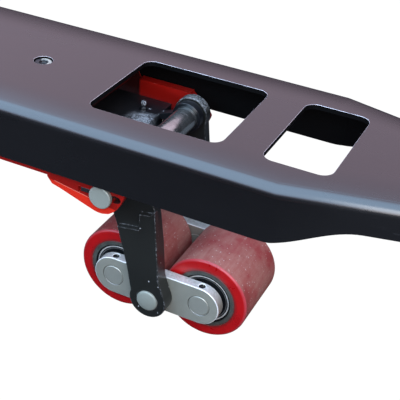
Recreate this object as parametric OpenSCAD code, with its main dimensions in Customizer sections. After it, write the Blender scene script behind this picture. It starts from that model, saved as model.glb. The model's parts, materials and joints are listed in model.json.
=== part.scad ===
/* [Forks] */
// Width over both forks
overall_w = 685; // [600:1:750]
// Length of a fork from heel to tip
fork_len = 1150; // [1000:1:1400]
// Height of the fork tops when raised
raised_h = 207; // [204:1:212]
// How far the forks sink when lowered
lift_travel = 120; // [90:1:120]
// Width of a fork cover
cover_w = 177; // [170:1:190]
// Depth of a cover's side walls
cover_h = 49; // [45:1:52]
// Sheet thickness of a cover
cover_t = 4.5; // [3:0.5:6]
// Outer radius of a cover's bend
cover_r = 6.8; // [6.5:0.1:10]
// Depth of the walls near the fork tip
tip_h = 27.5; // [22:0.5:32]
// Angle by which the sides draw in at the tip
taper_deg = 14; // [8:1:18]
// Distance from the fork tip to where the sides draw in
taper_len = 112; // [90:1:130]

/* [Cover windows] */
// Distance from the fork tip to the rear edge of the long window
datum_len = 292; // [285:1:300]
// Length of the long window
window_a_len = 119; // [110:1:125]
// Width of the long window
window_a_w = 106.2; // [96:0.2:116]
// Sheet left between the windows
window_gap = 34; // [28:1:40]
// Length of the short window
window_b_len = 56; // [48:1:62]
// Width of the short window
window_b_w = 107.8; // [96:0.2:116]
// Corner radius of both windows
window_r = 10; // [6:1:16]

/* [Inner forks] */
// Gap between an inner fork's sides and its cover
inner_play = 4; // [2:0.5:6]
// Plate thickness of an inner fork
inner_t = 4; // [3:0.5:5]
// Drop from the cover top to the inner fork's top plate
inner_drop = 26; // [24:1:28]
// Drop from the cover top to the inner fork's lower edge
inner_low = 58; // [52:1:60]
// Thickness of the two lugs that hold a wheel carrier
lug_t = 6; // [5:0.5:7]

/* [Wheel carriers] */
// Distance of the carrier pivot from the long window's rear edge
pivot_s = 33; // [30:0.5:36]
// Drop from the cover top to the carrier pivot
pivot_drop = 60; // [59:0.5:63]
// Diameter of the carrier pivot shaft
pivot_d = 16; // [14:1:17]
// Diameter of the pivot shaft's heads
pivot_head_d = 20; // [18:1:22]
// Distance of the roller frame's pins ahead of the carrier pivot
arm_run = 35; // [32:0.5:38]
// Height of the roller frame's pins above the floor
bogie_h = 39; // [37:0.5:42]
// Diameter of the push shaft
shaft_d = 22; // [20:1:23]
// Distance of the push shaft ahead of the carrier pivot
push_run = 14.5; // [13:0.5:16]
// Height of the push shaft over the carrier pivot
push_rise = 21; // [20.5:0.5:24]
// Gap between the two cheeks of a carrier
cheek_gap = 96; // [95:1:99]
// Thickness of a cheek
cheek_t = 9; // [6:0.5:10]
// Thickness of the outer plate on a cheek
doubler_t = 5; // [3:0.5:7]

/* [Load rollers] */
// Diameter of a load roller
roller_d = 80; // [74:1:82]
// Width of a load roller
roller_w = 70; // [60:1:71]
// Thickness of a roller's tyre
roller_tyre_t = 11; // [6:0.5:14]
// Distance between the two roller axles of a fork
roller_gap = 85.5; // [84:0.5:88]
// Diameter of a roller axle
axle_d = 20; // [15:1:20]
// Thickness of a side link
link_t = 10; // [8:0.5:10]
// Height of a side link
link_h = 38; // [34:1:40]

/* [Ball bearings] */
// Outer diameter of a ball bearing
bearing_d = 47; // [42:1:50]
// Width of a ball bearing
bearing_w = 14; // [10:1:16]

/* [Lifting linkage] */
// Distance from the heel back to the rocker's axis
rocker_back = 50; // [46:1:60]
// Drop from the cover top to the rocker's axis
rocker_drop = 12; // [8:1:16]
// Diameter of the rocker's tube
rocker_d = 40; // [34:1:42]
// Length of the rocker's rear arms
rocker_arm = 94.4; // [92:0.1:98]
// Diameter of the pins at the rocker's rear arms
rocker_pin_d = 20; // [16:1:22]
// Width of a push rod
rod_w = 40; // [30:1:50]
// Thickness of a push rod
rod_t = 12; // [8:1:14]
// Diameter of the pin at a push rod's rear end
rod_pin_d = 16; // [12:1:18]

/* [Steering] */
// Diameter of a steering wheel
steer_d = 180; // [160:1:180]
// Width of a steering wheel
steer_w = 50; // [40:1:54]
// Gap between the steering wheels
steer_gap = 76; // [72:1:90]
// Tread thickness of a steering wheel
steer_tyre_t = 20; // [10:1:26]
// Distance from the rocker's axis to the pump's axis
pump_back = 155; // [150:1:170]

/* [Pump] */
// Diameter of the pump's neck
neck_d = 64; // [56:1:68]
// Diameter of the oil tank
tank_d = 120; // [100:1:124]
// Height of the oil tank
tank_h = 110; // [100:1:112]
// Diameter of the piston rod
piston_d = 34; // [28:1:40]
// Diameter of the pump plunger
plunger_d = 18; // [14:1:20]

/* [Handle] */
// Height of the handle's top above the floor
handle_top = 1210; // [1150:1:1300]
// Diameter of the handle tube
handle_d = 34; // [28:1:38]
// Width of the handle's loop
loop_w = 240; // [200:1:280]
// Height of the handle's loop
loop_h = 190; // [160:1:220]
// Thickness of the loop
loop_t = 24; // [18:1:30]

/* [Scale] */
// Width of the indicator
indicator_w = 230; // [180:1:260]
// Height of the indicator's face
indicator_h = 150; // [120:1:160]
// Depth of the indicator
indicator_t = 50; // [40:1:60]
// Lean of the indicator's face from upright
indicator_tilt = 35; // [20:1:45]
// Length of a load cell
cell_len = 130; // [120:1:150]
// Width of a load cell
cell_w = 32; // [24:1:40]
// Distance of the front load screw behind the long window
cell_screw_s = 76; // [60:1:110]

/* [Hidden] */
$fn = 64;

black = "#22262a";
sheet_black = "#2b2a2e";
red = "#e2261c";
tyre_red = "#c8202c";
silver = "#c3c7cc";
steel = "#8d9298";
grey = "#6d7074";

// Fits: a pin that turns, a gap between moving pieces, and a seat
run = 0.05;
gap = 1;
seat = 0.3;
eps = 0.01;

// Places. Y runs from the fork tips to the handle, and the middle of the whole length is zero
heel_plate_t = 8;
flange_back = 96;
heel_s = datum_len - fork_len;
rocker_s = heel_s - rocker_back;
pump_s = rocker_s - pump_back;
total_len = datum_len - pump_s + flange_back;
tip_y = -total_len / 2;
datum_y = tip_y + datum_len;
pump_y = datum_y - pump_s;
heel_y = datum_y - heel_s;
fork_x = (overall_w - cover_w) / 2;
inner_w = cover_w - 2 * (cover_t + inner_play);
plate_y = heel_y + heel_plate_t;

// Wheel carrier geometry, seen from the side as distance s ahead and height z under the fork top
pivot_z = -pivot_drop;
bogie_z = bogie_h - raised_h;
bogie_s = pivot_s + arm_run;
shaft_s = pivot_s + push_run;
shaft_z = pivot_z + push_rise;
axle_z = roller_d / 2 - raised_h;
arm_len = sqrt(pow(arm_run, 2) + pow(pivot_z - bogie_z, 2));
swing = asin((pivot_drop - raised_h + lift_travel + bogie_h) / arm_len)
      + atan((pivot_z - bogie_z) / arm_run);
cheek_in = cheek_gap / 2;
cheek_out = cheek_in + cheek_t;
doubler_out = cheek_out + doubler_t;
lug_in = inner_w / 2 - inner_t;
lug_out = lug_in + lug_t;
boss_out = lug_in - seat;
link_out = cheek_in - gap;
link_in = link_out - link_t;
window_b_s = window_a_len + window_gap;
hub_r = shaft_d / 2 + 5;
boss_r = pivot_d / 2 + 6.5;
boss_tube_d = pivot_d + 5;
foot_r = 17.5;

// Linkage: the rocker mirrors the carrier, so a push rod stays level
rocker_z = -rocker_drop;
rod_pin_s = rocker_s + push_run;
rod_pin_z = rocker_z - push_rise;
rocker_end_z = rocker_z - lift_travel / 2;
rocker_end_s = rocker_s - sqrt(pow(rocker_arm, 2) - pow(lift_travel / 2, 2));
push_len = sqrt(pow(push_run, 2) + pow(push_rise, 2));
slot_low = 2 * (push_len - push_rise);
slot_high = 2 * (push_rise - push_run * sin(swing) - push_rise * cos(swing));
ear_r = push_len - boss_tube_d / 2 - gap;
rod_top = shaft_z - 4;

// Pump and handle
wheel_h = steer_d / 2;
bracket_z = steer_d + 6;
bracket_t = 10;
race_h = 10;
flange_z = bracket_z + bracket_t + race_h;
flange_t = 14;
tank_z = flange_z + flange_t;
tank_top = tank_z + tank_h;
tongue_z = 457;
tongue_t = 12;
bore_floor = wheel_h + 16;
side_in = 120;
side_t = 12;
rear_arm_x = side_in + side_t + 2;
rear_arm_t = 14;
handle_y = pump_y + 62;
socket_r = 22;
handle_z = tank_top + socket_r + gap;
cam_r = 18;
cam_deg = 37.5;
cam_d = 20;
plunger_y = handle_y + 16;
handle_pin_d = 16;
socket_in = 30;
ear_in = 40;
pump_ear_t = 10;
loop_z = handle_top - loop_h;

function arc(c, r, a0, a1, n = 8) =
  [for (i = [0:n]) c + r * [cos(a0 + (a1 - a0) * i / n), sin(a0 + (a1 - a0) * i / n)]];
function rounded(w, h, r, n = 6) = concat(
  arc([w / 2 - r, h / 2 - r], r, 0, 90, n), arc([r - w / 2, h / 2 - r], r, 90, 180, n),
  arc([r - w / 2, r - h / 2], r, 180, 270, n), arc([w / 2 - r, r - h / 2], r, 270, 360, n));
function capsule(a, b, r, n = 20) =
  let (d = atan2(b[1] - a[1], b[0] - a[0]))
  concat(arc(b, r, d - 90, d + 90, n), arc(a, r, d + 90, d + 270, n));
// A point in side view, from its distance ahead of the datum and its height
function side(s, z) = [-s, z];

// A bar along X between x0 and x1, drawn in side view as [y, z]
module across(x0, x1) translate([x0, 0, 0]) rotate([90, 0, 90]) linear_extrude(x1 - x0) children();
// The same bar on both sides of the middle
module both_sides(x0, x1) { across(x0, x1) children(); across(-x1, -x0) children(); }
// A round rod along X at a place in side view
module rod_x(x0, x1, s, z, d) translate([x0, -s, z]) rotate([0, 90, 0]) cylinder(h = x1 - x0, d = d);
module both_rods(x0, x1, s, z, d) { rod_x(x0, x1, s, z, d); rod_x(-x1, -x0, s, z, d); }
// Puts a piece drawn about the datum onto the left (1) or right (-1) fork
module on_fork(hand) translate([hand * fork_x, datum_y, raised_h]) mirror([hand > 0 ? 0 : 1, 0, 0]) children();
module on_chassis() translate([0, datum_y, raised_h]) children();

// Fork covers

// One face of a cover seen end on: a block whose upper edge is rounded in a number of steps
module edge_block(inset, r, steps) {
  top = -inset;
  far = 2 * fork_len;
  polygon(concat([[-far, -2 * cover_h], [0, -2 * cover_h]], arc([-r, top - r], r, 0, 90, steps),
    [[-far, top]]));
}
// Everything inside the cover's outline, drawn in by an inset. The bends of the drawn-in sides and
// of the front are a little rounder than those beside them, so that their edges cross cleanly
bend_ease = 0.25;
bend_steps = 8;
module cover_block(inset, r) {
  for_sides(0, 0, inset, r, bend_steps) for_sides(taper_deg, datum_len - taper_len, inset, r + bend_ease,
    bend_steps - 1) translate([-overall_w, inset - datum_len, 0]) rotate([90, 0, 90])
      linear_extrude(2 * overall_w) mirror([1, 0]) edge_block(inset, r + 2 * bend_ease, bend_steps - 2);
}
// Cuts its children to the two long sides, which lean in by an angle about a corner of the plan
module for_sides(lean, corner_s, inset, r, steps) intersection() {
  children();
  long = 3 * fork_len;
  intersection_for(hand = [0, 1]) mirror([hand, 0, 0]) translate([cover_w / 2, -corner_s, 0]) rotate([0, 0, -lean])
    translate([-inset, long / 2, 0]) rotate([90, 0, 0]) linear_extrude(long) edge_block(inset, r, steps);
}
// The side view of the walls: deep under the fork and shallow at the tip
module wall_outline() {
  rise_s = datum_len - taper_len - 10;
  rise_len = 75;
  steps = 12;
  polygon(concat([side(heel_s, 1), side(heel_s, -cover_h)],
    [for (i = [0:steps]) side(rise_s + rise_len * i / steps,
      -cover_h + (cover_h - tip_h) * (1 - cos(180 * i / steps)) / 2)],
    [side(datum_len + 1, -tip_h), side(datum_len + 1, 1)]));
}
module window(s0, len, w) translate([0, -s0 - len / 2, -cover_h / 2]) linear_extrude(cover_h)
  polygon(rounded(w, len, window_r));
module fork_cover() color(sheet_black) difference() {
  intersection() { cover_block(0, cover_r); across(-cover_w, cover_w) wall_outline(); }
  cover_block(cover_t, cover_r - cover_t);
  window(0, window_a_len, window_a_w);
  window(window_b_s, window_b_len, window_b_w);
  for (s = screw_places()) translate([0, -s, -2 * cover_t]) cylinder(h = 4 * cover_t, d = screw_head_d + 1);
}

// Load cells and their screws

screw_head_d = 16;
screw_head_h = 3.4;
cell_h = inner_drop - cover_t - 3;
cell_z = -inner_drop;
fixing_back = [84, 110];
fixing_d = 9;
function screw_places() = [-cell_screw_s, heel_s + cell_screw_s];
module at_cells() for (hand = [-1, 1]) on_fork(hand) for (i = [0, 1])
  translate([0, -screw_places()[i], cell_z]) mirror([0, i, 0]) children();
module load_cell() difference() {
  union() {
    translate([-cell_w / 2, -10, 3]) cube([cell_w, cell_len, cell_h - 4]);
    translate([-cell_w / 2, cell_len - 60, 0]) cube([cell_w, 50, 3 + eps]);
    translate([0, 0, 3]) cylinder(h = cell_h - 0.3, d = 20);
  }
  translate([0, 0, -1]) cylinder(h = 2 * cell_h, d = 8);
  for (y = fixing_back) translate([0, y, -1]) cylinder(h = 2 * cell_h, d = fixing_d);
  for (x = [-8, 8]) translate([x, 45, -1]) cylinder(h = 2 * cell_h, d = 14);
}
module load_cells() color(silver) at_cells() load_cell();
// A cap screw with a hexagon socket, its head at the top
module cap_screw(d, head_d, head_h, len, socket) difference() {
  union() {
    cylinder(h = head_h, d = head_d);
    translate([0, 0, -len]) cylinder(h = len + eps, d = d);
  }
  translate([0, 0, head_h / 3]) cylinder(h = head_h, d = socket, $fn = 6);
}
module load_cell_screws() color(steel) at_cells() for (y = fixing_back)
  translate([0, y, cell_h - 1]) cap_screw(9, 14, 3, cell_h - 1, 7);
module cover_screws() color(grey) at_cells()
  translate([0, 0, cell_h + 2.7]) cap_screw(8, screw_head_d, screw_head_h, 14, 8);

// Inner forks

// Lower and front outline of a lug, and its top corner, as distance ahead and drop from the cover top
lug_rear = 19;
lug_top = 32;
lug_profile = [[-14.5, 63.6], [-7, 65.6], [3.2, 68.9], [16.6, 73.4], [26, 76.4], [30, 77.1], [34, 76.9],
  [39.7, 75.3], [44.3, 71.8],
  [47.9, 67.5], [50.8, 62], [53.4, 56.2], [54.2, 53], [50, 46], [38, 37], [35, 34], [34, lug_top]];
module lug_outline() polygon(concat([side(-lug_rear, -lug_top), side(-lug_rear, -inner_low)],
  [for (p = lug_profile) side(p[0], -p[1])]));
// Outline of the pad that stiffens a lug on its inner side
lug_pad = 3;
pad_low = 57.5;
pad_profile = [[17, pad_low], [21, 46], [37, 46], [37.5, 37.5], [35, 34], [34, lug_top]];
module pad_outline() polygon(concat([side(-lug_rear, -lug_top), side(-lug_rear, -pad_low)],
  [for (p = pad_profile) side(p[0], -p[1])]));
// The top plate ends behind the window, where the wheel carrier's hub swings back
plate_rear_gap = 24;
side_lap = 8;
module inner_fork() color(red) difference() {
  union() {
    translate([-inner_w / 2, plate_rear_gap, -inner_drop - inner_t])
      cube([inner_w, -heel_s - plate_rear_gap, inner_t]);
    both_sides(lug_in, inner_w / 2) polygon([side(heel_s, -inner_drop), side(heel_s, -inner_low),
      side(-lug_rear - gap, -inner_low), side(side_lap - lug_rear, -inner_low + side_lap),
      side(side_lap - lug_rear, -lug_top - inner_t), side(-lug_rear, -lug_top - inner_t),
      side(-plate_rear_gap, -inner_drop)]);
    both_sides(lug_in, lug_out) lug_outline();
    both_sides(lug_in - lug_pad, lug_in + eps) pad_outline();
  }
  rod_x(-cover_w, cover_w, pivot_s, pivot_z, pivot_d);
  for (i = [0, 1]) translate([0, -screw_places()[i], -inner_low]) mirror([0, i, 0])
    for (y = fixing_back) translate([0, y, 0]) cylinder(h = inner_low, d = fixing_d);
  for (hand = [-1, 1]) keeper_slot(hand);
  recess();
}
// The slotted hole beside the pivot, through both lugs
recess_s = 10.5;
recess_len = 4;
recess_r = 2.6;
module recess() across(-cover_w, cover_w) polygon(capsule(side(pivot_s + recess_s, pivot_z),
  side(pivot_s + recess_s + recess_len, pivot_z + 1), recess_r, 8));
keeper_back = 20;
keeper_h = 5;
keeper_t = 2;
keeper_bite = 5;
module keeper_outline(back, front, h) polygon([side(pivot_s - back, pivot_z + h / 2),
  side(pivot_s - back, pivot_z - h / 2), side(pivot_s - front, pivot_z - h / 2), side(pivot_s - front, pivot_z + h / 2)]);
module keeper_slot(hand) mirror([hand > 0 ? 0 : 1, 0, 0])
  across(lug_out - keeper_t - 0.5, lug_out + 1) keeper_outline(keeper_back + 2, keeper_bite, keeper_h);
pin_head = 4;
module pivot_shafts() color(silver) for (hand = [-1, 1]) on_fork(hand) difference() {
  union() {
    rod_x(-lug_out - eps, lug_out + eps, pivot_s, pivot_z, pivot_d);
    both_rods(lug_out, lug_out + pin_head, pivot_s, pivot_z, pivot_head_d);
  }
  for (flip = [0, 1]) mirror([flip, 0, 0]) across(lug_out - keeper_t - 0.5, lug_out)
    keeper_outline(pivot_d, keeper_bite, keeper_h);
}
module pin_keepers() color(silver) for (hand = [-1, 1]) on_fork(hand)
  both_sides(lug_out - keeper_t - 0.5, lug_out - 0.5) keeper_outline(keeper_back, keeper_bite, keeper_h - 1);

// Wheel carriers

module cheek_outline() {
  polygon([side(shaft_s - hub_r + 1.5, shaft_z - 3), side(pivot_s - boss_r + 1.5, pivot_z + 5),
    side(pivot_s - 8, pivot_z - boss_r - 4), side(bogie_s - 21.3, bogie_z + 30),
    side(bogie_s - foot_r + 1, bogie_z + 5), side(bogie_s + foot_r - 1, bogie_z + 5),
    side(bogie_s + 9.6, bogie_z + 25), side(bogie_s + 6.5, bogie_z + 60), side(bogie_s + 2.5, bogie_z + 88),
    side(bogie_s - 3.2, bogie_z + 102.5),
    side(shaft_s + hub_r - 1.5, shaft_z - 3)]);
  translate(side(shaft_s, shaft_z)) circle(r = hub_r);
  translate(side(pivot_s, pivot_z)) circle(r = boss_r);
  translate(side(bogie_s, bogie_z)) circle(r = foot_r);
}
module doubler_outline() {
  step_z = bogie_z + 68;
  polygon([side(bogie_s - 21.3, bogie_z + 30), side(bogie_s - 31.5, step_z), side(bogie_s - 11, step_z + 3),
    side(bogie_s - 11, step_z + 19), side(bogie_s - 1, step_z + 20.5), side(bogie_s + 3.5, step_z + 26),
    side(bogie_s + 6.5, bogie_z + 60), side(bogie_s + 9.6, bogie_z + 25),
    side(bogie_s + foot_r - 1, bogie_z + 5), side(bogie_s - foot_r + 1, bogie_z + 5)]);
  translate(side(bogie_s, bogie_z)) circle(r = foot_r);
}
module carrier() color(black) difference() {
  union() {
    both_sides(cheek_in, cheek_out) cheek_outline();
    both_sides(cheek_out, doubler_out) doubler_outline();
    rod_x(-boss_out, boss_out, pivot_s, pivot_z, boss_tube_d);
  }
  rod_x(-cover_w, cover_w, pivot_s, pivot_z, pivot_d + 2 * run);
  rod_x(-cover_w, cover_w, shaft_s, shaft_z, shaft_d);
  rod_x(-cover_w, cover_w, bogie_s, bogie_z, axle_d + 2 * run);
}
module push_shaft() color(silver) rod_x(-cheek_out, cheek_out, shaft_s, shaft_z, shaft_d);
module bogie_pins() color(silver) for (flip = [0, 1]) mirror([flip, 0, 0])
  translate([link_in, -bogie_s, bogie_z]) rotate([0, 90, 0]) rotate_extrude() polygon([[0, 0], [axle_d / 2, 0],
    [axle_d / 2, doubler_out - link_in + 0.5], [axle_d / 2 - 0.8, doubler_out - link_in + 1.4],
    [axle_d / 2 - 4, doubler_out - link_in + 2.2], [0, doubler_out - link_in + 2.6]]);

// Push rods

ear_t = 8;
plate_half = 64;
plate_front = shaft_s - 27;
plate_depth = 68;
plate_t = 8;
lip_t = 6;
eye_half = 10;
eye_wall = 9;
bar_clear = 21;
module push_rod() color(black) {
  ear_out = cheek_in - gap;
  strap_low = shaft_z - 8;
  difference() {
    union() {
      both_sides(ear_out - ear_t, ear_out) {
        translate(side(shaft_s, shaft_z)) circle(r = ear_r);
        polygon([side(shaft_s, strap_low), side(shaft_s - ear_r + 2, shaft_z + 2), side(plate_front - 2, rod_top),
          side(plate_front - 20, rod_top - 1), side(plate_front - 20, rod_top - plate_t + 1),
          side(plate_front - 2, rod_top - plate_t + 1), side(plate_front + 2, strap_low)]);
      }
      translate([-plate_half, -plate_front, rod_top - plate_t]) cube([2 * plate_half, plate_depth, plate_t]);
      translate([-ear_out, -plate_front, pivot_z]) cube([2 * ear_out, lip_t, rod_top - plate_t - pivot_z + eps]);
      translate([-rod_w / 2, 10 - plate_front, rod_top - rod_t])
        cube([rod_w, plate_front - 10 - rod_pin_s - bar_clear, rod_t]);
      across(-eye_half, eye_half) {
        polygon(concat(capsule(side(rod_pin_s, rod_pin_z - slot_low), side(rod_pin_s, rod_pin_z + slot_high),
          rod_pin_d / 2 + eye_wall)));
        translate([-rod_pin_s - bar_clear - 1, rod_top - rod_t]) square([bar_clear + 1, rod_t]);
      }
      translate([nipple_out, -nipple_s, rod_top - eps]) nipple();
    }
    rod_x(-cover_w, cover_w, shaft_s, shaft_z, shaft_d + 2 * run);
    across(-2 * eye_half, 2 * eye_half) polygon(capsule(side(rod_pin_s, rod_pin_z - slot_low),
      side(rod_pin_s, rod_pin_z + slot_high), rod_pin_d / 2 + 0.6));
  }
}
nipple_out = 40;
nipple_s = 4;
module nipple() { cylinder(h = 3, d = 8, $fn = 6); cylinder(h = 6, d = 4.4); translate([0, 0, 6.6]) sphere(d = 5); }

// Rollers and their frame

module link_outline() polygon(capsule(side(bogie_s - roller_gap / 2, axle_z), side(bogie_s + roller_gap / 2, axle_z),
  link_h / 2));
module bogie_links() color(silver) difference() {
  both_sides(link_in, link_out) link_outline();
  for (d = [-0.5, 0.5]) {
    rod_x(-cover_w, cover_w, bogie_s + d * roller_gap, axle_z, axle_d);
    for (flip = [0, 1]) mirror([flip, 0, 0])
      translate([(link_in + link_out) / 2, -bogie_s - d * roller_gap, axle_z + axle_d / 2 + 4])
        cylinder(h = link_h, d = 6);
  }
  rod_x(-cover_w, cover_w, bogie_s, bogie_z, axle_d + 2 * run);
}
module roller_axles() color(silver) for (d = [-0.5, 0.5])
  rod_x(-link_out, link_out, bogie_s + d * roller_gap, axle_z, axle_d);
// A sealed ball bearing about X, from x0 to x0 + bearing_w
module bearing(x0, bore) translate([x0, 0, 0]) rotate([0, 90, 0]) rotate_extrude() polygon([
  [bore / 2, 0], [bore / 2 + 3.5, 0], [bore / 2 + 3.5, 0.8], [bearing_d / 2 - 3.5, 0.8], [bearing_d / 2 - 3.5, 0],
  [bearing_d / 2, 0], [bearing_d / 2, bearing_w], [bearing_d / 2 - 3.5, bearing_w],
  [bearing_d / 2 - 3.5, bearing_w - 0.8], [bore / 2 + 3.5, bearing_w - 0.8], [bore / 2 + 3.5, bearing_w],
  [bore / 2, bearing_w]]);
module roller_bearings() color(steel) for (d = [-0.5, 0.5]) translate([0, -bogie_s - d * roller_gap, axle_z]) {
  bearing(roller_w / 2 - bearing_w - 1, axle_d);
  bearing(1 - roller_w / 2, axle_d);
}
module at_roller(d) translate([0, -bogie_s - d * roller_gap, axle_z]) children();
module tyre(d) color(tyre_red) at_roller(d) rotate([0, 90, 0]) rotate_extrude() polygon(concat(
  [[roller_d / 2 - roller_tyre_t, -roller_w / 2]],
  arc([roller_d / 2 - 3, 3 - roller_w / 2], 3, -90, 0, 4), arc([roller_d / 2 - 3, roller_w / 2 - 3], 3, 0, 90, 4),
  [[roller_d / 2 - roller_tyre_t, roller_w / 2]]));
module core(d) color(grey) at_roller(d) difference() {
  translate([-roller_w / 2, 0, 0]) rotate([0, 90, 0]) cylinder(h = roller_w, d = roller_d - 2 * roller_tyre_t);
  translate([-roller_w, 0, 0]) rotate([0, 90, 0]) cylinder(h = 2 * roller_w, d = axle_d + 6);
  for (flip = [0, 1]) mirror([flip, 0, 0]) translate([roller_w / 2 - bearing_w - 1.5, 0, 0]) rotate([0, 90, 0])
    cylinder(h = roller_w, d = bearing_d + 2 * run);
}

// Head frame behind the forks

module head_frame() color(red) difference() {
  union() {
    heel_plate();
    tongue();
    rocker_ears();
  }
  on_chassis() for (hand = [-1, 1]) translate([hand * fork_x, 0, 0])
    rod_cutout();
  translate([0, pump_y, tongue_z - 1]) cylinder(h = tongue_t + 2, d = piston_d - 6);
}
plate_low = raised_h - inner_low;
neck_top = tongue_z + tongue_t;
heel_over = 12;
head_top_w = 180;
head_mid_w = 300;
head_slope = 60;
module heel_plate() translate([0, plate_y, 0]) rotate([90, 0, 0]) linear_extrude(heel_plate_t)
  polygon([[-overall_w / 2, plate_low], [overall_w / 2, plate_low], [overall_w / 2, raised_h + heel_over],
    [head_mid_w / 2, neck_top - head_slope], [head_top_w / 2, neck_top], [-head_top_w / 2, neck_top],
    [-head_mid_w / 2, neck_top - head_slope], [-overall_w / 2, raised_h + heel_over]]);
tongue_w = 58;
tongue_root_w = 160;
tongue_flare_y = pump_y - 100;
module tongue() {
  translate([0, 0, tongue_z]) linear_extrude(tongue_t) {
    translate([0, pump_y]) circle(d = tongue_w + 2);
    polygon([[-tongue_w / 2, pump_y], [tongue_w / 2, pump_y], [tongue_w / 2, tongue_flare_y],
      [tongue_root_w / 2, plate_y - eps], [-tongue_root_w / 2, plate_y - eps], [-tongue_w / 2, tongue_flare_y]]);
  }
  both_sides(20, 28) polygon([[plate_y - eps, tongue_z + eps], [plate_y - eps, tongue_z - 90],
    [pump_y - 75, tongue_z - 5], [pump_y - 75, tongue_z + eps]]);
}
ear_x = fork_x - 58;
module rocker_ears() on_chassis() difference() {
  both_sides(ear_x, ear_x + 10) polygon(concat([side(heel_s - heel_plate_t + eps, -inner_low),
    side(heel_s - heel_plate_t + eps, 12)], arc(side(rocker_s, rocker_z), rocker_d / 2 + 9, 80, -80, 12)));
  rod_x(-overall_w, overall_w, rocker_s, rocker_z, rocker_d + 2 * run);
}
module rod_cutout() translate([-rod_w / 2 - 6, -heel_s - 1, -inner_low - 1])
  cube([rod_w + 12, heel_plate_t + 2, inner_low + 1 - inner_drop - inner_t - 1]);
module piston_rod() color(silver) translate([0, pump_y, 0]) difference() {
  union() {
    translate([0, 0, bore_floor + lift_travel + 2]) cylinder(h = tongue_z - bore_floor - lift_travel - 2, d = piston_d);
    translate([0, 0, tongue_z - eps]) cylinder(h = tongue_t + 4, d = piston_d - 6);
  }
  translate([0, 0, tongue_z + tongue_t - 4]) cylinder(h = 20, d = 10, $fn = 6);
}

// Rocker

module rocker() color(black) on_chassis() {
  arm_x = fork_x - 12;
  difference() {
    union() {
      rod_x(-arm_x, arm_x, rocker_s, rocker_z, rocker_d);
      both_sides(arm_x - 12, arm_x) polygon(capsule(side(rocker_s, rocker_z), side(rod_pin_s, rod_pin_z), rod_pin_d / 2 + 7));
      both_sides(rear_arm_x, rear_arm_x + rear_arm_t)
        polygon(capsule(side(rocker_s, rocker_z), side(rocker_end_s, rocker_end_z), rocker_pin_d / 2 + 8));
    }
    both_rods(arm_x - 16, arm_x + 4, rod_pin_s, rod_pin_z, rod_pin_d - eps);
  }
  both_rods(arm_x - 14, arm_x + 26, rod_pin_s, rod_pin_z, rod_pin_d);
  both_rods(side_in - 3, rear_arm_x + eps, rocker_end_s, rocker_end_z, rocker_pin_d);
}

// Lift bracket round the pump's neck

bracket_front = 128;
bracket_back = 40;
cheek_drop = 82;
module lift_bracket() color(red) difference() {
  union() {
    translate([-side_in - side_t, pump_y - bracket_front, bracket_z])
      cube([2 * (side_in + side_t), bracket_front + bracket_back, bracket_t]);
    both_sides(side_in, side_in + side_t) polygon([[pump_y - bracket_front, bracket_z + eps],
      [pump_y - bracket_front, bracket_z - cheek_drop], [pump_y - 60, bracket_z - cheek_drop],
      [pump_y - 52, bracket_z + eps]]);
  }
  translate([0, pump_y, 0]) cylinder(h = 2 * bracket_z, d = neck_d + 2 * run);
  translate([0, datum_y, raised_h]) rocker_slot();
}
module rocker_slot() across(-overall_w, overall_w) polygon(capsule(
  side(rocker_end_s + 0.5, rocker_end_z), side(rocker_s - rocker_arm - 0.5, rocker_end_z), rocker_pin_d / 2 + 2.6));
module thrust_bearing() color(steel) translate([0, pump_y, bracket_z + bracket_t]) difference() {
  cylinder(h = race_h, d = neck_d + 38);
  translate([0, 0, -1]) cylinder(h = race_h + 2, d = neck_d + 2);
}

// Pump and steering

module pump_base() color(red) difference() {
  union() {
    translate([0, pump_y, wheel_h - 28]) cylinder(h = flange_z - wheel_h + 28 + eps, d = neck_d);
    translate([0, 0, flange_z]) linear_extrude(flange_t) {
      translate([0, pump_y]) circle(d = tank_d + 12);
      polygon([[-56, pump_y], [56, pump_y], [56, pump_y + 70], [24, pump_y + flange_back],
        [-24, pump_y + flange_back], [-56, pump_y + 70]]);
    }
    translate([0, pump_y, tank_z - eps]) cylinder(h = tank_h + 6, d = piston_d + 22);
    translate([0, plunger_y, tank_z - eps]) cylinder(h = 46, d = plunger_d + 14);
    both_sides(ear_in, ear_in + pump_ear_t) polygon(concat([[handle_y + 14, tank_z - eps]],
      arc([handle_y, handle_z], 14, 0, 180, 12), [[handle_y - 14, tank_z - eps]]));
  }
  translate([0, pump_y, bore_floor]) cylinder(h = 2 * tank_top, d = piston_d + 2 * run);
  translate([0, plunger_y, flange_z + 6]) cylinder(h = tank_h, d = plunger_d + 2 * run);
  translate([0, datum_y, 0]) rod_x(-overall_w, overall_w, pump_s, wheel_h, axle_d);
  translate([-overall_w / 2, handle_y, handle_z]) rotate([0, 90, 0]) cylinder(h = overall_w, d = handle_pin_d);
}
module oil_tank() color(red) translate([0, pump_y, tank_z]) difference() {
  cylinder(h = tank_h, d = tank_d);
  translate([0, 0, -1]) cylinder(h = tank_h - 4, d = tank_d - 10);
  cylinder(h = tank_h + 1, d = piston_d + 22);
}
wheel_in = steer_gap / 2;
wheel_out = wheel_in + steer_w;
module wheel_axle() color(steel) translate([0, datum_y, 0]) {
  rod_x(-wheel_out, wheel_out, pump_s, wheel_h, axle_d);
  both_rods(neck_d / 2, wheel_in + 1, pump_s, wheel_h, axle_d + 8);
  both_rods(wheel_out - 1.5, wheel_out + 2, pump_s, wheel_h, axle_d + 6);
}
module steer_bearings() color(steel) translate([0, pump_y, wheel_h]) for (flip = [0, 1]) mirror([flip, 0, 0]) {
  bearing(wheel_in + 1, axle_d);
  bearing(wheel_out - bearing_w - 1.5, axle_d);
}
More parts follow.
